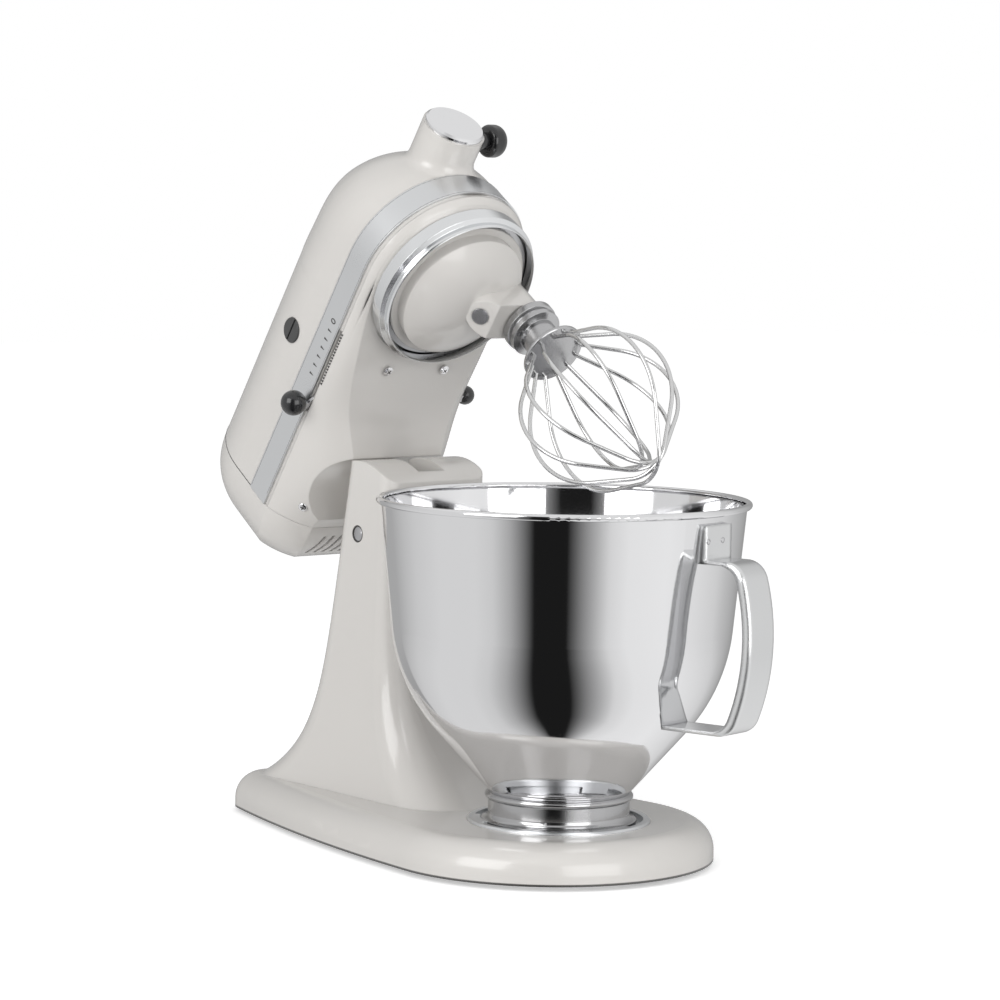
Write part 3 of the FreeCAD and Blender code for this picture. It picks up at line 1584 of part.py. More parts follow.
def speed_board():
    body = named_body("speed_board")
    half = S.board_half
    height = S.board_height / 2
    place = -S.rear_plate_place - S.bearing_width - S.board_thick * 2
    plate = [(-half, -height), (half, -height), (half, height), (-half, height)]
    pad(body, outline(body, "YZ_Plane", plate, place), S.board_thick)
    for y, z in ((-0.8, -0.8), (0.8, -0.8), (0.8, 0.8), (-0.8, 0.8)):
        post = disc(body, "YZ_Plane", S.bracket_thick / 2, half * y, height * z, place)
        pad(body, post, -S.rear_plate_place - place)
    in_head(body, 0, 0, HUB_AXIS)


def build_stand():
    stand_casting()
    feet()
    hinge_pin()
    bowl_clamp_plate()
    clamp_screws()


def build_bowl():
    bowl_shell()
    bowl_foot()
    bowl_handle()


def build_head():
    upper_housing()
    lower_gearcase()
    rear_cover()
    trim_band()
    drip_ring()
    hub_cap()
    attachment_knob()
    brush_caps()
    case_screws()
    ball_lever("speed_lever", "speed_ball", S.lever_rest, -1, S.ball_radius)
    ball_lever("lock_lever", "lock_ball", S.lock_rest, 1, S.lock_ball_radius)


def build_drive():
    ring_gear()
    planetary_housing()
    planetary_plug()
    centre_shaft()
    centre_bush()
    pinion_gear()
    beater_shaft()
    beater_pin()
    whip_hub()
    whip_wires()
    centre_gear()
    centre_bevel_gear()
    hub_drive()
    hub_bearing()
    worm_wheel()
    spur_pinion()
    wheel_shaft()
    armature()
    commutator()
    motor_fan()
    stator()
    bearing_plate("front_bracket", S.bracket_place, -S.bearing_outer * 1.1, S.bearing_outer * 1.6)
    bearing_plate("rear_bracket", S.rear_plate_place, -S.stator_flat, S.bearing_outer * 1.6)
    bearing("front_bearing", S.bracket_place, S.motor_shaft * 0.8)
    bearing("rear_bearing", S.rear_plate_place, S.motor_shaft)
    brushes()
    speed_board()


def check_and_write():
    DOC.recompute()
    broken = [item.Label for item in DOC.Objects if {"Invalid", "Error"} & set(item.State)]
    for part in PARTS:
        if part.Shape.isNull() or not part.Shape.isValid() or not part.Shape.Solids:
            broken.append(part.Label)
    if broken:
        raise RuntimeError("not sound: " + ", ".join(broken))
    os.makedirs("parts", exist_ok=True)
    for part in PARTS:
        part.Shape.exportStep(f"parts/{part.Label}.step")


build_stand()
build_bowl()
build_head()
build_drive()
check_and_write()
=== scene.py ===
import math

import bmesh
import bpy
from mathutils import Matrix, Vector


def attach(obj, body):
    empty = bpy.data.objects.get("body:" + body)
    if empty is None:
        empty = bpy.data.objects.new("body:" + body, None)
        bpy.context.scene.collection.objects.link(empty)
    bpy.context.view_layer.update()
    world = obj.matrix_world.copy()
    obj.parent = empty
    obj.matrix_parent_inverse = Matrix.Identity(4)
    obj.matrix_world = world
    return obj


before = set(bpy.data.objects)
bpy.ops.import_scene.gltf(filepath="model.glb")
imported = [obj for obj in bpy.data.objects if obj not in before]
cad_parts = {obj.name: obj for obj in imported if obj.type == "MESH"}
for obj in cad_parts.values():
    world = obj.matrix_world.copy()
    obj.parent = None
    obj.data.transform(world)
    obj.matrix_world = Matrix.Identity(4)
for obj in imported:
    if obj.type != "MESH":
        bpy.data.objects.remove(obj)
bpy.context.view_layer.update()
MM = 0.001

# The head is drawn lowered, in millimetres, and turned up about the hinge.
HINGE_X, HINGE_Z = -151.5, 186.3
HEAD_TILT = math.radians(55.5)
HINGE = Vector((HINGE_X, 0, HINGE_Z)) * MM
HEAD = (
    Matrix.Translation(HINGE)
    @ Matrix.Rotation(HEAD_TILT, 4, Vector((0, -1, 0)))
    @ Matrix.Translation(-HINGE)
)


def in_head(x, y, z):
    """Where the raised head carries a point of the lowered one."""
    return HEAD @ (Vector((x, y, z)) * MM)


def head_direction(x, y, z):
    return (HEAD.to_3x3() @ Vector((x, y, z))).normalized()


# Shader nodes

def new_group(name, inputs, outputs):
    """A shader node group with named sockets, and its input and output nodes."""
    group = bpy.data.node_groups.new(name, "ShaderNodeTree")
    sockets = group.interface
    for label, kind, value in inputs:
        socket = sockets.new_socket(name=label, in_out="INPUT", socket_type=f"NodeSocket{kind}")
        socket.default_value = value
    for label, kind in outputs:
        sockets.new_socket(name=label, in_out="OUTPUT", socket_type=f"NodeSocket{kind}")
    return group, group.nodes.new("NodeGroupInput"), group.nodes.new("NodeGroupOutput")


def feed(tree, socket, value):
    """Links a socket to another node's output, or sets it to a plain value."""
    if isinstance(value, bpy.types.NodeSocket):
        tree.links.new(value, socket)
    else:
        socket.default_value = value


def math_node(tree, operation, first, second):
    node = tree.nodes.new("ShaderNodeMath")
    node.operation = operation
    feed(tree, node.inputs[0], first)
    feed(tree, node.inputs[1], second)
    return node.outputs[0]


def map_range(tree, value, low, high, bottom=0.0, top=1.0):
    """Takes a value between low and high to the same place between bottom and top."""
    node = tree.nodes.new("ShaderNodeMapRange")
    limits = {"From Min": low, "From Max": high, "To Min": bottom, "To Max": top}
    for label, limit in limits.items():
        node.inputs[label].default_value = limit
    tree.links.new(value, node.inputs["Value"])
    return node.outputs["Result"]


def mix_colors(tree, factor, first, second):
    node = tree.nodes.new("ShaderNodeMix")
    node.data_type = "RGBA"
    feed(tree, node.inputs["Factor"], factor)
    feed(tree, node.inputs["A"], first)
    feed(tree, node.inputs["B"], second)
    return node.outputs["Result"]


def mix_shaders(tree, factor, first, second):
    node = tree.nodes.new("ShaderNodeMixShader")
    for socket, value in zip(node.inputs, (factor, first, second)):
        tree.links.new(value, socket)
    return node.outputs[0]


def noise(tree, vector, scale, detail):
    node = tree.nodes.new("ShaderNodeTexNoise")
    node.inputs["Detail"].default_value = detail
    tree.links.new(vector, node.inputs["Vector"])
    tree.links.new(scale, node.inputs["Scale"])
    return node.outputs["Fac"]


def coordinates(tree, space):
    """The X, Y and Z of a texture coordinate, each on its own."""
    place = tree.nodes.new("ShaderNodeTexCoord")
    split = tree.nodes.new("ShaderNodeSeparateXYZ")
    tree.links.new(place.outputs[space], split.inputs[0])
    return split.outputs


# Materials

CLOUD_DETAIL = 4
GRAIN_DETAIL = 2
NOISE_MIDDLE = 0.5
RELIEF_DEPTH = 0.0004
EDGE_SAMPLES = 6
COAT_ROUGHNESS = 0.06


def worn_group():
    """Cloudy changes of tone and gloss, and a fine grain for the bump, from object coordinates."""
    group, given, result = new_group(
        "worn_surface",
        [
            ("Color", "Color", (0.8, 0.8, 0.8, 1)),
            ("Tone", "Float", 0.04),
            ("Roughness", "Float", 0.3),
            ("Gloss Change", "Float", 0.05),
            ("Cloud Scale", "Float", 20.0),
            ("Grain Scale", "Float", 900.0),
            ("Stretch", "Vector", (1, 1, 1)),
        ],
        [("Color", "Color"), ("Roughness", "Float"), ("Height", "Float")],
    )
    links = group.links
    values = given.outputs
    place = group.nodes.new("ShaderNodeTexCoord").outputs["Object"]
    stretched = group.nodes.new("ShaderNodeVectorMath")
    stretched.operation = "MULTIPLY"
    links.new(place, stretched.inputs[0])
    links.new(values["Stretch"], stretched.inputs[1])
    cloud = noise(group, place, values["Cloud Scale"], CLOUD_DETAIL)
    grain = noise(group, stretched.outputs[0], values["Grain Scale"], GRAIN_DETAIL)
    cloud_swing = math_node(group, "SUBTRACT", cloud, NOISE_MIDDLE)
    grain_swing = math_node(group, "SUBTRACT", grain, NOISE_MIDDLE)
    tone = math_node(group, "MULTIPLY", cloud_swing, values["Tone"])
    shade = group.nodes.new("ShaderNodeHueSaturation")
    links.new(math_node(group, "ADD", tone, 1.0), shade.inputs["Value"])
    links.new(values["Color"], shade.inputs["Color"])
    links.new(shade.outputs["Color"], result.inputs["Color"])
    grain_gloss = math_node(group, "MULTIPLY", grain_swing, values["Gloss Change"])
    cloud_gloss = math_node(group, "MULTIPLY", cloud_swing, values["Gloss Change"])
    gloss = math_node(group, "ADD", grain_gloss, cloud_gloss)
    rough = math_node(group, "ADD", values["Roughness"], gloss)
    links.new(rough, result.inputs["Roughness"])
    links.new(grain, result.inputs["Height"])
    return group


WORN = worn_group()


def material(name, color, rough, metal=0.0, coat=0.0, tone=0.04, gloss=0.05, cloud=20.0,
             grain=900.0, bump=0.02, stretch=(1, 1, 1), edge=0.0, specular=0.5):
    """A finish with its own wear; edge is the radius, in metres, that softens sharp edges."""
    made = bpy.data.materials.new(name)
    made.use_nodes = True
    tree = made.node_tree
    shader = tree.nodes["Principled BSDF"]
    worn = tree.nodes.new("ShaderNodeGroup")
    worn.node_tree = WORN
    wear = {
        "Color": (*color, 1), "Tone": tone, "Roughness": rough, "Gloss Change": gloss,
        "Cloud Scale": cloud, "Grain Scale": grain, "Stretch": stretch,
    }
    for label, value in wear.items():
        worn.inputs[label].default_value = value
    tree.links.new(worn.outputs["Color"], shader.inputs["Base Color"])
    tree.links.new(worn.outputs["Roughness"], shader.inputs["Roughness"])
    relief = tree.nodes.new("ShaderNodeBump")
    relief.inputs["Strength"].default_value = bump
    relief.inputs["Distance"].default_value = RELIEF_DEPTH
    tree.links.new(worn.outputs["Height"], relief.inputs["Height"])
    if edge:
        soft = tree.nodes.new("ShaderNodeBevel")
        soft.samples = EDGE_SAMPLES
        soft.inputs["Radius"].default_value = edge
        tree.links.new(soft.outputs["Normal"], relief.inputs["Normal"])
    tree.links.new(relief.outputs["Normal"], shader.inputs["Normal"])
    shader.inputs["Metallic"].default_value = metal
    shader.inputs["Specular IOR Level"].default_value = specular
    shader.inputs["Coat Weight"].default_value = coat
    shader.inputs["Coat Roughness"].default_value = COAT_ROUGHNESS
    return made


PAINT_FINISH = dict(coat=0.6, tone=0.02, grain=1500.0, bump=0.012, edge=0.0016)
PAINT_COLOR = (0.625, 0.606, 0.581)
PAINT_ROUGHNESS = 0.24
PAINT = material("greige_paint", PAINT_COLOR, PAINT_ROUGHNESS, **PAINT_FINISH)
# Painted shadow: below about 4.6 mm the stand's paint turns dark, standing in for the shadow gap under
# the base.
BASE_SHADOW_COLOR = (0.07, 0.068, 0.065, 1)
BASE_SHADOW_TOP = 4.6 * MM
BASE_SHADOW_FADE = 0.5 * MM


def stand_paint_with_shadow():
    """The stand's paint, dark along its lower edge: a painted shadow of the gap under the base."""
    made = material("stand_paint_and_shadow", PAINT_COLOR, PAINT_ROUGHNESS, **PAINT_FINISH)
    tree = made.node_tree
    color = tree.nodes["Principled BSDF"].inputs["Base Color"]
    paint = color.links[0].from_socket
    height = coordinates(tree, "Object")["Z"]
    above = map_range(tree, height, BASE_SHADOW_TOP - BASE_SHADOW_FADE, BASE_SHADOW_TOP)
    tree.links.new(mix_colors(tree, above, BASE_SHADOW_COLOR, paint), color)
    return made


STAND_PAINT_AND_SHADOW = stand_paint_with_shadow()
CHROME = material("polished_steel", (0.80, 0.80, 0.81), rough=0.06, metal=1.0, tone=0.03, gloss=0.03,
                  cloud=14.0, bump=0.004)
BRIGHT = material("bright_trim", (0.78, 0.79, 0.80), rough=0.14, metal=1.0, tone=0.05, gloss=0.05,
                  edge=0.0006, bump=0.01)
SATIN = material("satin_metal", (0.72, 0.73, 0.74), rough=0.3, metal=1.0, tone=0.06, gloss=0.08,
                 stretch=(1, 1, 30), edge=0.0005)
HUB_STEEL = material("cast_hub", (0.5, 0.5, 0.505), rough=0.2, metal=1.0, tone=0.10, gloss=0.10,
                     cloud=60.0, edge=0.0006, bump=0.05)
# The foot's brushed steel is darker than the bowl's: a painted reflection of the dark surroundings it
# mirrors.
BOWL_FOOT = material("brushed_foot", (0.45, 0.45, 0.455), rough=0.13, metal=1.0, tone=0.06, gloss=0.06,
                     stretch=(1, 1, 40), edge=0.0006)
GRIP = material("brushed_grip", (0.76, 0.765, 0.77), rough=0.17, metal=1.0, tone=0.05, gloss=0.06,
                stretch=(1, 30, 1), edge=0.0035)
PIN = material("turned_pin", (0.46, 0.46, 0.47), rough=0.2, metal=1.0, tone=0.08, edge=0.0010)
WIRE = material("whip_wire", (0.72, 0.72, 0.72), rough=0.14, metal=1.0, tone=0.05)
BLACK = material("black_knob", (0.012, 0.012, 0.013), rough=0.20, coat=0.4, tone=0.2, gloss=0.08)
CAP = material("dark_cap", (0.05, 0.05, 0.05), rough=0.42, tone=0.2, gloss=0.1, edge=0.0004)
RUBBER = material("foot_rubber", (0.03, 0.03, 0.03), rough=0.75, tone=0.2, bump=0.2)
STEEL = material("machined_steel", (0.52, 0.52, 0.53), rough=0.30, metal=1.0, tone=0.08, gloss=0.1,
                 edge=0.0004)
BRONZE = material("bronze", (0.55, 0.36, 0.17), rough=0.32, metal=1.0, tone=0.1)
IRON = material("motor_iron", (0.10, 0.095, 0.09), rough=0.6, metal=0.6, tone=0.2, bump=0.2)
ALLOY = material("bracket_alloy", (0.62, 0.62, 0.63), rough=0.4, metal=1.0, tone=0.08, bump=0.1)
BOARD = material("dark_plastic", (0.03, 0.055, 0.04), rough=0.55, tone=0.15)
DARK = material("dark_line", (0.05, 0.048, 0.046), rough=0.5, tone=0.1)

NODE_MATERIALS = {
    STAND_PAINT_AND_SHADOW: ["stand_casting"],
    PAINT: ["upper_housing", "lower_gearcase", "rear_cover", "planetary_housing"],
    CHROME: ["bowl_shell", "hub_cap", "case_screws"],
    BOWL_FOOT: ["bowl_foot"],
    GRIP: ["bowl_handle"],
    PIN: ["hinge_pin", "planetary_plug"],
    BRIGHT: ["drip_ring"],
    SATIN: ["trim_band", "bowl_clamp_plate"],
    HUB_STEEL: ["whip_hub"],
    WIRE: ["whip_wires"],
    BLACK: ["attachment_knob", "speed_ball", "lock_ball"],
    CAP: ["brush_caps"],
    RUBBER: ["rubber_feet"],
    STEEL: ["beater_shaft", "beater_pin", "clamp_screws", "speed_lever", "lock_lever",
            "centre_shaft", "wheel_shaft", "ring_gear", "pinion_gear", "centre_gear",
            "centre_bevel_gear", "spur_pinion", "hub_drive", "front_bearing", "rear_bearing"],
    BRONZE: ["worm_wheel", "centre_bush", "hub_bearing", "motor_brushes", "commutator"],
    IRON: ["armature", "stator"],
    ALLOY: ["front_bracket", "rear_bracket"],
    BOARD: ["motor_fan", "speed_board"],
}
for look, names in NODE_MATERIALS.items():
    for name in names:
        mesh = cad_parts[name].data
        mesh.materials.clear()
        mesh.materials.append(look)


# Ways of making small pieces; paths and places are in metres, sizes in millimetres

TUBE_SIDES = 6
DOME_SIDES = 20
DOME_ROWS = ((1.0, 0.0), (0.94, 0.6), (0.72, 0.92), (0.4, 1.0))
BAR_CORNERS = ((-1, -1), (1, -1), (1, 1), (-1, 1))
BAR_FACES = [(3, 2, 1, 0), (4, 5, 6, 7), (0, 1, 5, 4), (1, 2, 6, 5), (2, 3, 7, 6), (3, 0, 4, 7)]
BAR_SUNK, BAR_PROUD = 0.1, 0.06


def mesh_piece(name, points, faces, look, body, smooth=False):
    """A closed mesh with its faces outward, riding on a body."""
    mesh = bpy.data.meshes.new(name)
    mesh.from_pydata([tuple(point) for point in points], [], faces)
    mesh.validate()
    shape = bmesh.new()
    shape.from_mesh(mesh)
    bmesh.ops.recalc_face_normals(shape, faces=shape.faces)
    shape.to_mesh(mesh)
    shape.free()
    for polygon in mesh.polygons:
        polygon.use_smooth = smooth
    mesh.materials.append(look)
    made = bpy.data.objects.new(name, mesh)
    bpy.context.scene.collection.objects.link(made)
    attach(made, body)


def round_steps(count):
    """The cosine and sine of equal steps round a full turn."""
    angles = [2 * math.pi * step / count for step in range(count)]
    return [(math.cos(angle), math.sin(angle)) for angle in angles]


def skin(rows, sides, closed=False):
    """Faces between rows of points, and from the last row to the first if closed."""
    faces = []
    for row in range(rows if closed else rows - 1):
        near, far = row * sides, (row + 1) % rows * sides
        for side in range(sides):
            after = (side + 1) % sides
            faces.append((near + side, near + after, far + after, far + side))
    return faces


def tube(name, points, look, body, radius, closed=False):
    """A thin round line through points: a ring if closed, and otherwise capped at both ends."""
    radius = radius * MM
    count = len(points)
    verts = []
    across = None
    for index, point in enumerate(points):
        before = points[index - 1] if index or closed else point
        after = points[(index + 1) % count] if closed or index < count - 1 else point
        along = (after - before).normalized()
        aside = across - along * across.dot(along) if index else along.orthogonal()
        across = aside.normalized()
        over = along.cross(across)
        for cosine, sine in round_steps(TUBE_SIDES):
            verts.append(point + (across * cosine + over * sine) * radius)
    faces = skin(count, TUBE_SIDES, closed)
    if not closed:
        end = (count - 1) * TUBE_SIDES
        faces.append(tuple(range(TUBE_SIDES - 1, -1, -1)))
        faces.append(tuple(range(end, end + TUBE_SIDES)))
    mesh_piece(name, verts, faces, look, body, smooth=True)


def head_prism(name, corners, inner, outer):
    """A flat dark shape on the near side of the lowered head, from its (x, z) corners."""
    points = [in_head(x, y, z) for y in (inner, outer) for x, z in corners]
    count = len(corners)
    faces = [tuple(range(count)), tuple(range(2 * count - 1, count - 1, -1))]
    for index in range(count):
        after = (index + 1) % count
        faces.append((after, index, index + count, after + count))
    mesh_piece(name, points, faces, DARK, "head")


def row_of_marks(name, outline, count, start, pitch, inner, outer):
    """Equal flat shapes at a steady pitch along the near side of the head."""
    for number in range(count):
        x = start + pitch * number
        corners = [(x + along, z) for along, z in outline]
        head_prism(f"{name}_{number}", corners, inner, outer)


def round_head(name, place, out, radius, high):
    """A low domed screw head standing on a surface at place, facing out."""
    radius, high = radius * MM, high * MM
    aside = out.orthogonal().normalized()
    up = out.cross(aside)
    points = []
    for share, rise in DOME_ROWS:
        for cosine, sine in round_steps(DOME_SIDES):
            spoke = (aside * cosine + up * sine) * radius * share
            points.append(place + spoke + out * high * rise)
    rows = len(DOME_ROWS)
    top = (rows - 1) * DOME_SIDES
    faces = [tuple(range(top, top + DOME_SIDES)), tuple(range(DOME_SIDES - 1, -1, -1))]
    faces += skin(rows, DOME_SIDES)
    mesh_piece(name, points, faces, CHROME, "head", smooth=True)


def recess_shade_cross(name, place, out, length, width):
    """Two dark crossing bars: painted shade standing in for a driver recess seen from above."""
    length, width = length * MM, width * MM
    aside = out.orthogonal().normalized()
    up = out.cross(aside)
    for label, along, over in (("a", aside, up), ("b", up, aside)):
        rim = [place + along * x * length + over * y * width for x, y in BAR_CORNERS]
        low = [point - out * BAR_SUNK * MM for point in rim]
        high = [point + out * BAR_PROUD * MM for point in rim]
        mesh_piece(f"{name}_{label}", low + high, BAR_FACES, DARK, "head")


def band_path(height, radius, rear, steps=48):
    """Points along the side of the head, from the rear near end round the nose to the far end."""
    points = [in_head(rear, -radius, height)]
    for step in range(steps + 1):
        angle = -math.pi / 2 + math.pi * step / steps
        points.append(in_head(radius * math.cos(angle), radius * math.sin(angle), height))
    points.append(in_head(rear, radius, height))
    return points


def arch_path(x, half, low, shoulder, steps=36):
    """Points over the head in section at x, up one side, over the round top and down the other."""
    points = [in_head(x, -half, low), in_head(x, -half, shoulder)]
    for step in range(1, steps):
        angle = math.pi * step / steps
        points.append(in_head(x, -half * math.cos(angle), shoulder + half * math.sin(angle)))
    return points + [in_head(x, half, shoulder), in_head(x, half, low)]


# Small pieces

def speed_scale():
    """Ticks and a ring on the near side of the band, and a row of teeth below it."""
    band_face = -59.0
    tick = ((-0.8, 263.4), (0.5, 263.6), (0.2, 259.6), (-0.1, 259.6))
    row_of_marks("speed_tick", tick, count=6, start=-83.5, pitch=6.6,
                 inner=band_face + 0.05, outer=band_face - 0.08)
    middle_x, middle_z, half_wide, half_tall = -43.5, 262, 1.3, 2.0
    ring = [in_head(middle_x + half_wide * cosine, band_face, middle_z + half_tall * sine)
            for cosine, sine in round_steps(count=20)]
    tube("speed_zero", ring, DARK, "head", radius=0.35, closed=True)
    tooth = ((0, 250.6), (1.3, 250.6), (0.9, 251.8), (0.4, 251.8))
    row_of_marks("speed_detent", tooth, count=18, start=-84, pitch=2.2, inner=-57.4, outer=-58.15)


def cover_seam():
    """The joint between the rear cover and the housing, over the top of the head."""
    seam = arch_path(x=-182, half=58.0, low=273.4, shoulder=293)
    tube("cover_seam", seam, DARK, "head", radius=0.22)


def head_screws():
    """Painted recess shade for the screws under the gearcase, and the domed screw low on the near side
    with its own.
    """
    screw_x, screw_y, screw_face = -65, 22, 237.0
    for name, side in (("near", -1), ("far", 1)):
        place = in_head(screw_x, screw_y * side, screw_face)
        recess_shade_cross(f"screw_cross_{name}", place, head_direction(0, 0, -1), length=1.5, width=0.35)
    place = in_head(x=-168.6, y=-45.8, z=234.2)
    out = head_direction(x=-0.17, y=-0.71, z=-0.68)
    sunk, recess = 0.2, 1.2
    round_head("side_screw", place - out * sunk * MM, out, radius=3.3, high=1.4)
    recess_shade_cross("side_screw_cross", place + out * recess * MM, out, length=1.6, width=0.4)


def heel_wall():
    """Carries the foot of the column down on to the round of the base's heel, from side to side."""
    foot_height, foot_rear, foot_corner, foot_straight = 21.4, 263.4, 38.0, 18.0
    heel_rear, heel_straight, heel_corner = 263.5, 39.5, 24.0
    round_start, base_round = 9.0, 17.0
    thick, proud = 2.0, 0.03
    straight_steps, corner_steps, corner_pitch, rows = 20, 8, 3, 9
    full_rise = foot_height - round_start

    def round_inset(rise):
        return base_round - math.sqrt(base_round**2 - rise**2)

    # Along one half of the heel: place, turn, and how far the wall leans in with the round.
    stations = []
    for step in range(straight_steps + 1):
        y = heel_straight * step / straight_steps
        past = max(y - foot_straight, 0.0)
        foot_x = foot_rear - foot_corner + math.sqrt(max(foot_corner**2 - past**2, 0.0))
        share = min(max((heel_rear - foot_x) / round_inset(full_rise), 0.0), 1.0)
        stations.append((-heel_rear, y, 0.0, share))
    for step in range(1, corner_steps + 1):
        turn = math.radians(corner_pitch * step)
        x = -heel_rear + heel_corner * (1 - math.cos(turn))
        stations.append((x, heel_straight + heel_corner * math.sin(turn), turn, 1.0))
    other_half = [(x, -y, -turn, share) for x, y, turn, share in reversed(stations[1:])]
    stations = other_half + stations

    # Each station's section: up the outside and down the inside.
    points = []
    for x, y, turn, share in stations:
        inwards = Vector((math.cos(turn), -math.sin(turn), 0))
        line = []
        for row in range(rows):
            rise = full_rise * row / (rows - 1)
            line.append((round_inset(rise) * share - proud, round_start + rise))
        line += [(inset + thick, height) for inset, height in reversed(line)]
        points += [(Vector((x, y, height)) + inwards * inset) * MM for inset, height in line]
    count = 2 * rows
    faces = [tuple(range(count))]
    for place in range(len(stations) - 1):
        near, far = place * count, (place + 1) * count
        for side in range(count):
            after = (side + 1) % count
            faces.append((near + after, near + side, far + side, far + after))
    faces.append(tuple(range(len(points) - 1, len(points) - count - 1, -1)))
    mesh_piece("heel_wall", points, faces, PAINT, "stand", smooth=True)


def weld_spots():
    """Two small rings where the handle's upper end is welded to the bowl."""
    along, up, radius = Vector((-0.233, 0.972, 0)), Vector((0, 0, 1)), 1.5
    for number, place in enumerate([(110.35, 15.8, 201.5), (106.95, 29.9, 201.5)]):
        ring = [(Vector(place) + (along * cosine + up * sine) * radius) * MM
                for cosine, sine in round_steps(count=18)]
        tube(f"weld_spot_{number}", ring, STEEL, "bowl", radius=0.3, closed=True)


def pin_edges():
    """A dark ring round each end of the hinge pin, on the sides of the column."""
    column_side, pin_radius, gap = 39.0, 4.7, 0.35
    radius = pin_radius + gap
    for name, side in (("near", -1), ("far", 1)):
        ring = [Vector((HINGE_X + radius * cosine, side * column_side, HINGE_Z + radius * sine)) * MM
                for cosine, sine in round_steps(count=28)]
        tube(f"pin_edge_{name}", ring, DARK, "stand", radius=0.6, closed=True)


def band_lines():
    """The dark lines along the lower and upper edge of the bright band."""
    head_half, sunk = 59.02, 0.12
    for name, height, rear in (("low", 255.6, -174), ("high", 272.1, -180)):
        path = band_path(height, head_half - sunk, rear)
        tube(f"band_line_{name}", path, DARK, "head", radius=0.16)


speed_scale()
cover_seam()
head_screws()
heel_wall()
weld_spots()
pin_edges()
band_lines()


# Studio

PANEL = math.radians(-48)
# The room's shade by azimuth in degrees, darkest at the panel.
ROOM_SHADES = [
    (-180, 0.45), (-164, 0.59), (-150, 0.69), (-125, 0.78), (-96, 0.78), (-84, 0.71), (-73, 0.47),
    (-63, 0.16), (-58, 0.012), (-38, 0.012), (-33, 0.13), (-22, 0.46), (-12, 0.8), (0, 0.93),
    (28, 0.97), (58, 0.85), (80, 0.74), (93, 0.6), (125, 0.35), (180, 0.45),
]
CEILING_COLOR = (0.86, 0.86, 0.86, 1)
WHITE = (1, 1, 1, 1)
SOFT_STRENGTH = 0.8
FLOOR_REACH = 6.0
FLOOR_LIFT = 0.42
LAMP_AIM = (-0.05, 0, 0.2)


def background(tree, color, strength=1.0):
    node = tree.nodes.new("ShaderNodeBackground")
    feed(tree, node.inputs["Color"], color)
    node.inputs["Strength"].default_value = strength
    return node.outputs[0]


def room_shade(tree, azimuth):
    """The shade of the room's walls in one direction."""
    turned = math_node(tree, "ADD", azimuth, math.pi)
    ramp = tree.nodes.new("ShaderNodeValToRGB")
    tree.links.new(math_node(tree, "DIVIDE", turned, 2 * math.pi), ramp.inputs["Fac"])
    stops = ramp.color_ramp.elements
    for stop, (_, shade) in zip(stops, (ROOM_SHADES[0], ROOM_SHADES[-1])):
        stop.color = (shade, shade, shade, 1)
    for degrees, shade in ROOM_SHADES[1:-1]:
        stops.new((degrees + 180) / 360).color = (shade, shade, shade, 1)
    return ramp.outputs["Color"]


def studio_world():
    """White to the camera, a pale room with a dark upright panel to metal, soft light to the rest."""
    world = bpy.data.worlds.new("studio")
    bpy.context.scene.world = world
    world.use_nodes = True
    tree = world.node_tree
    tree.nodes.clear()
    way = coordinates(tree, "Generated")

    # Towards the floor the panel spreads to twice its width.
    spread = map_range(tree, way["Z"], low=-0.9, high=-0.2, bottom=0.5, top=1.0)
    azimuth = math_node(tree, "ARCTAN2", way["Y"], way["X"])
    from_panel = math_node(tree, "SUBTRACT", azimuth, PANEL)
    narrowed = math_node(tree, "MULTIPLY", from_panel, spread)
    walls = room_shade(tree, math_node(tree, "ADD", narrowed, PANEL))
    overhead = map_range(tree, way["Z"], low=0.45, high=0.7)
    room = background(tree, mix_colors(tree, overhead, walls, CEILING_COLOR))

    # The soft light falls off towards the column's side.
    soft_side = map_range(tree, way["X"], low=-1.0, high=0.4, bottom=0.35, top=1.0)
    soft = background(tree, soft_side, SOFT_STRENGTH)

    path = tree.nodes.new("ShaderNodeLightPath")
    lit = mix_shaders(tree, path.outputs["Is Glossy Ray"], soft, room)
    seen = mix_shaders(tree, path.outputs["Is Camera Ray"], lit, background(tree, WHITE))
    result = tree.nodes.new("ShaderNodeOutputWorld")
    tree.links.new(seen, result.inputs["Surface"])


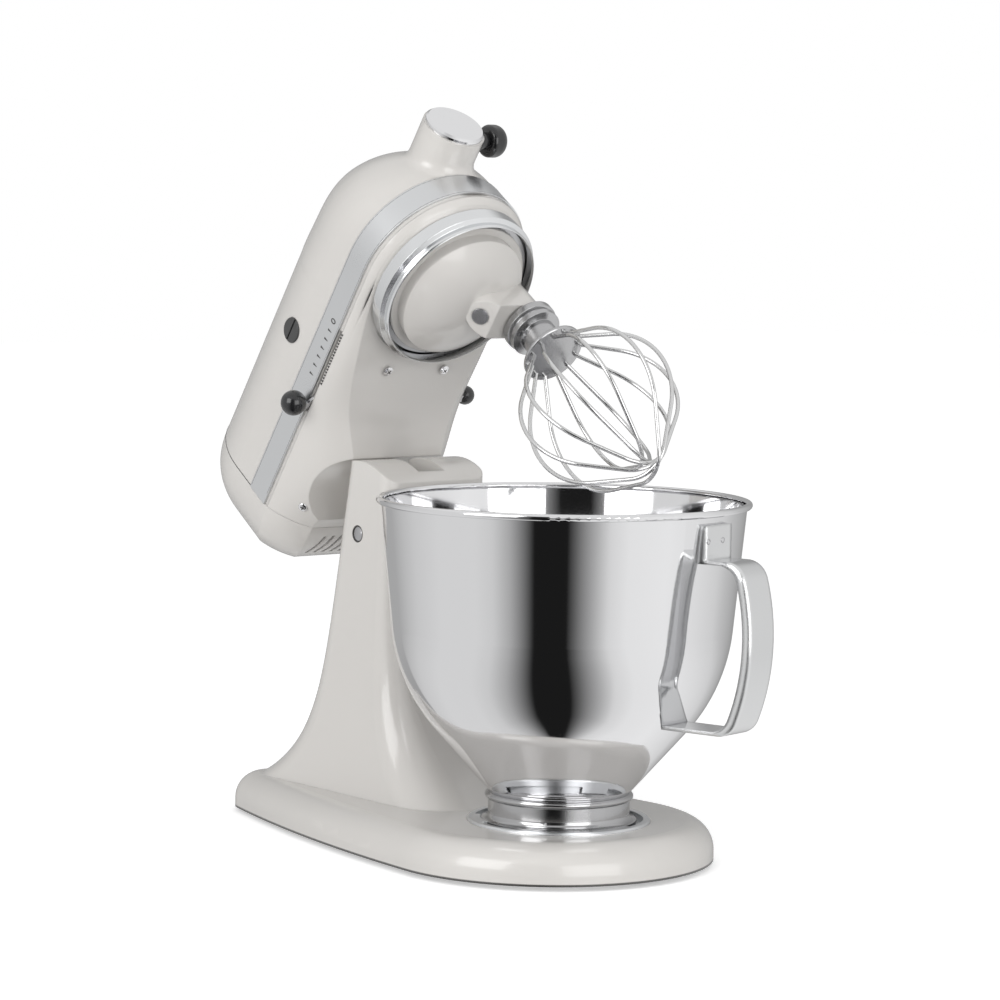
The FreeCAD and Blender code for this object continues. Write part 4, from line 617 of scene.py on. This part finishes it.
def studio_floor():
    """A pale floor that keeps the shadow and is lifted to white for the camera alone."""
    reach = FLOOR_REACH
    mesh = bpy.data.meshes.new("floor")
    corners = [(-reach, -reach, 0), (reach, -reach, 0), (reach, reach, 0), (-reach, reach, 0)]
    mesh.from_pydata(corners, [], [(0, 1, 2, 3)])
    pale = material("pale_floor", (0.96, 0.96, 0.96), rough=0.9, tone=0.01, specular=0.1)
    tree = pale.node_tree
    shader = tree.nodes["Principled BSDF"]
    shader.inputs["Emission Color"].default_value = WHITE
    path = tree.nodes.new("ShaderNodeLightPath")
    lift = math_node(tree, "MULTIPLY", path.outputs["Is Camera Ray"], FLOOR_LIFT)
    tree.links.new(lift, shader.inputs["Emission Strength"])
    mesh.materials.append(pale)
    made = bpy.data.objects.new("floor", mesh)
    made.visible_glossy = False
    bpy.context.scene.collection.objects.link(made)


def photo_camera():
    """The viewpoint worked out from the bowl's rim, its foot and the base."""
    place = (1.59583, -1.33922, 0.39996)
    around, pitch, roll = math.radians(51.041), math.radians(5.021), math.radians(-0.904)
    data = bpy.data.cameras.new("camera")
    data.sensor_width = 36
    data.lens = 127.0
    data.clip_start = 0.05
    data.clip_end = 50
    made = bpy.data.objects.new("camera", data)
    bpy.context.scene.collection.objects.link(made)
    level = math.cos(pitch)
    ahead = Vector((-math.sin(around) * level, math.cos(around) * level, -math.sin(pitch)))
    right = Vector((math.cos(around), math.sin(around), 0))
    down = ahead.cross(right)
    leaned_right = right * math.cos(roll) + down * math.sin(roll)
    leaned_down = down * math.cos(roll) - right * math.sin(roll)
    turn = Matrix((leaned_right, -leaned_down, -ahead)).transposed()
    made.matrix_world = Matrix.Translation(place) @ turn.to_4x4()
    bpy.context.scene.camera = made


def area_light(name, place, size, power):
    data = bpy.data.lights.new(name, "AREA")
    data.shape = "RECTANGLE"
    data.size = size
    data.size_y = size
    data.energy = power
    lamp = bpy.data.objects.new(name, data)
    lamp.location = place
    lamp.rotation_euler = (Vector(LAMP_AIM) - Vector(place)).to_track_quat("-Z", "Y").to_euler()
    bpy.context.scene.collection.objects.link(lamp)


studio_world()
studio_floor()
photo_camera()
area_light("key", (0.2, -2.1, 1.0), size=1.4, power=19)
area_light("fill", (2.2, -0.3, 0.5), size=1.6, power=15.5)
bpy.context.scene.view_settings.view_transform = "Standard"
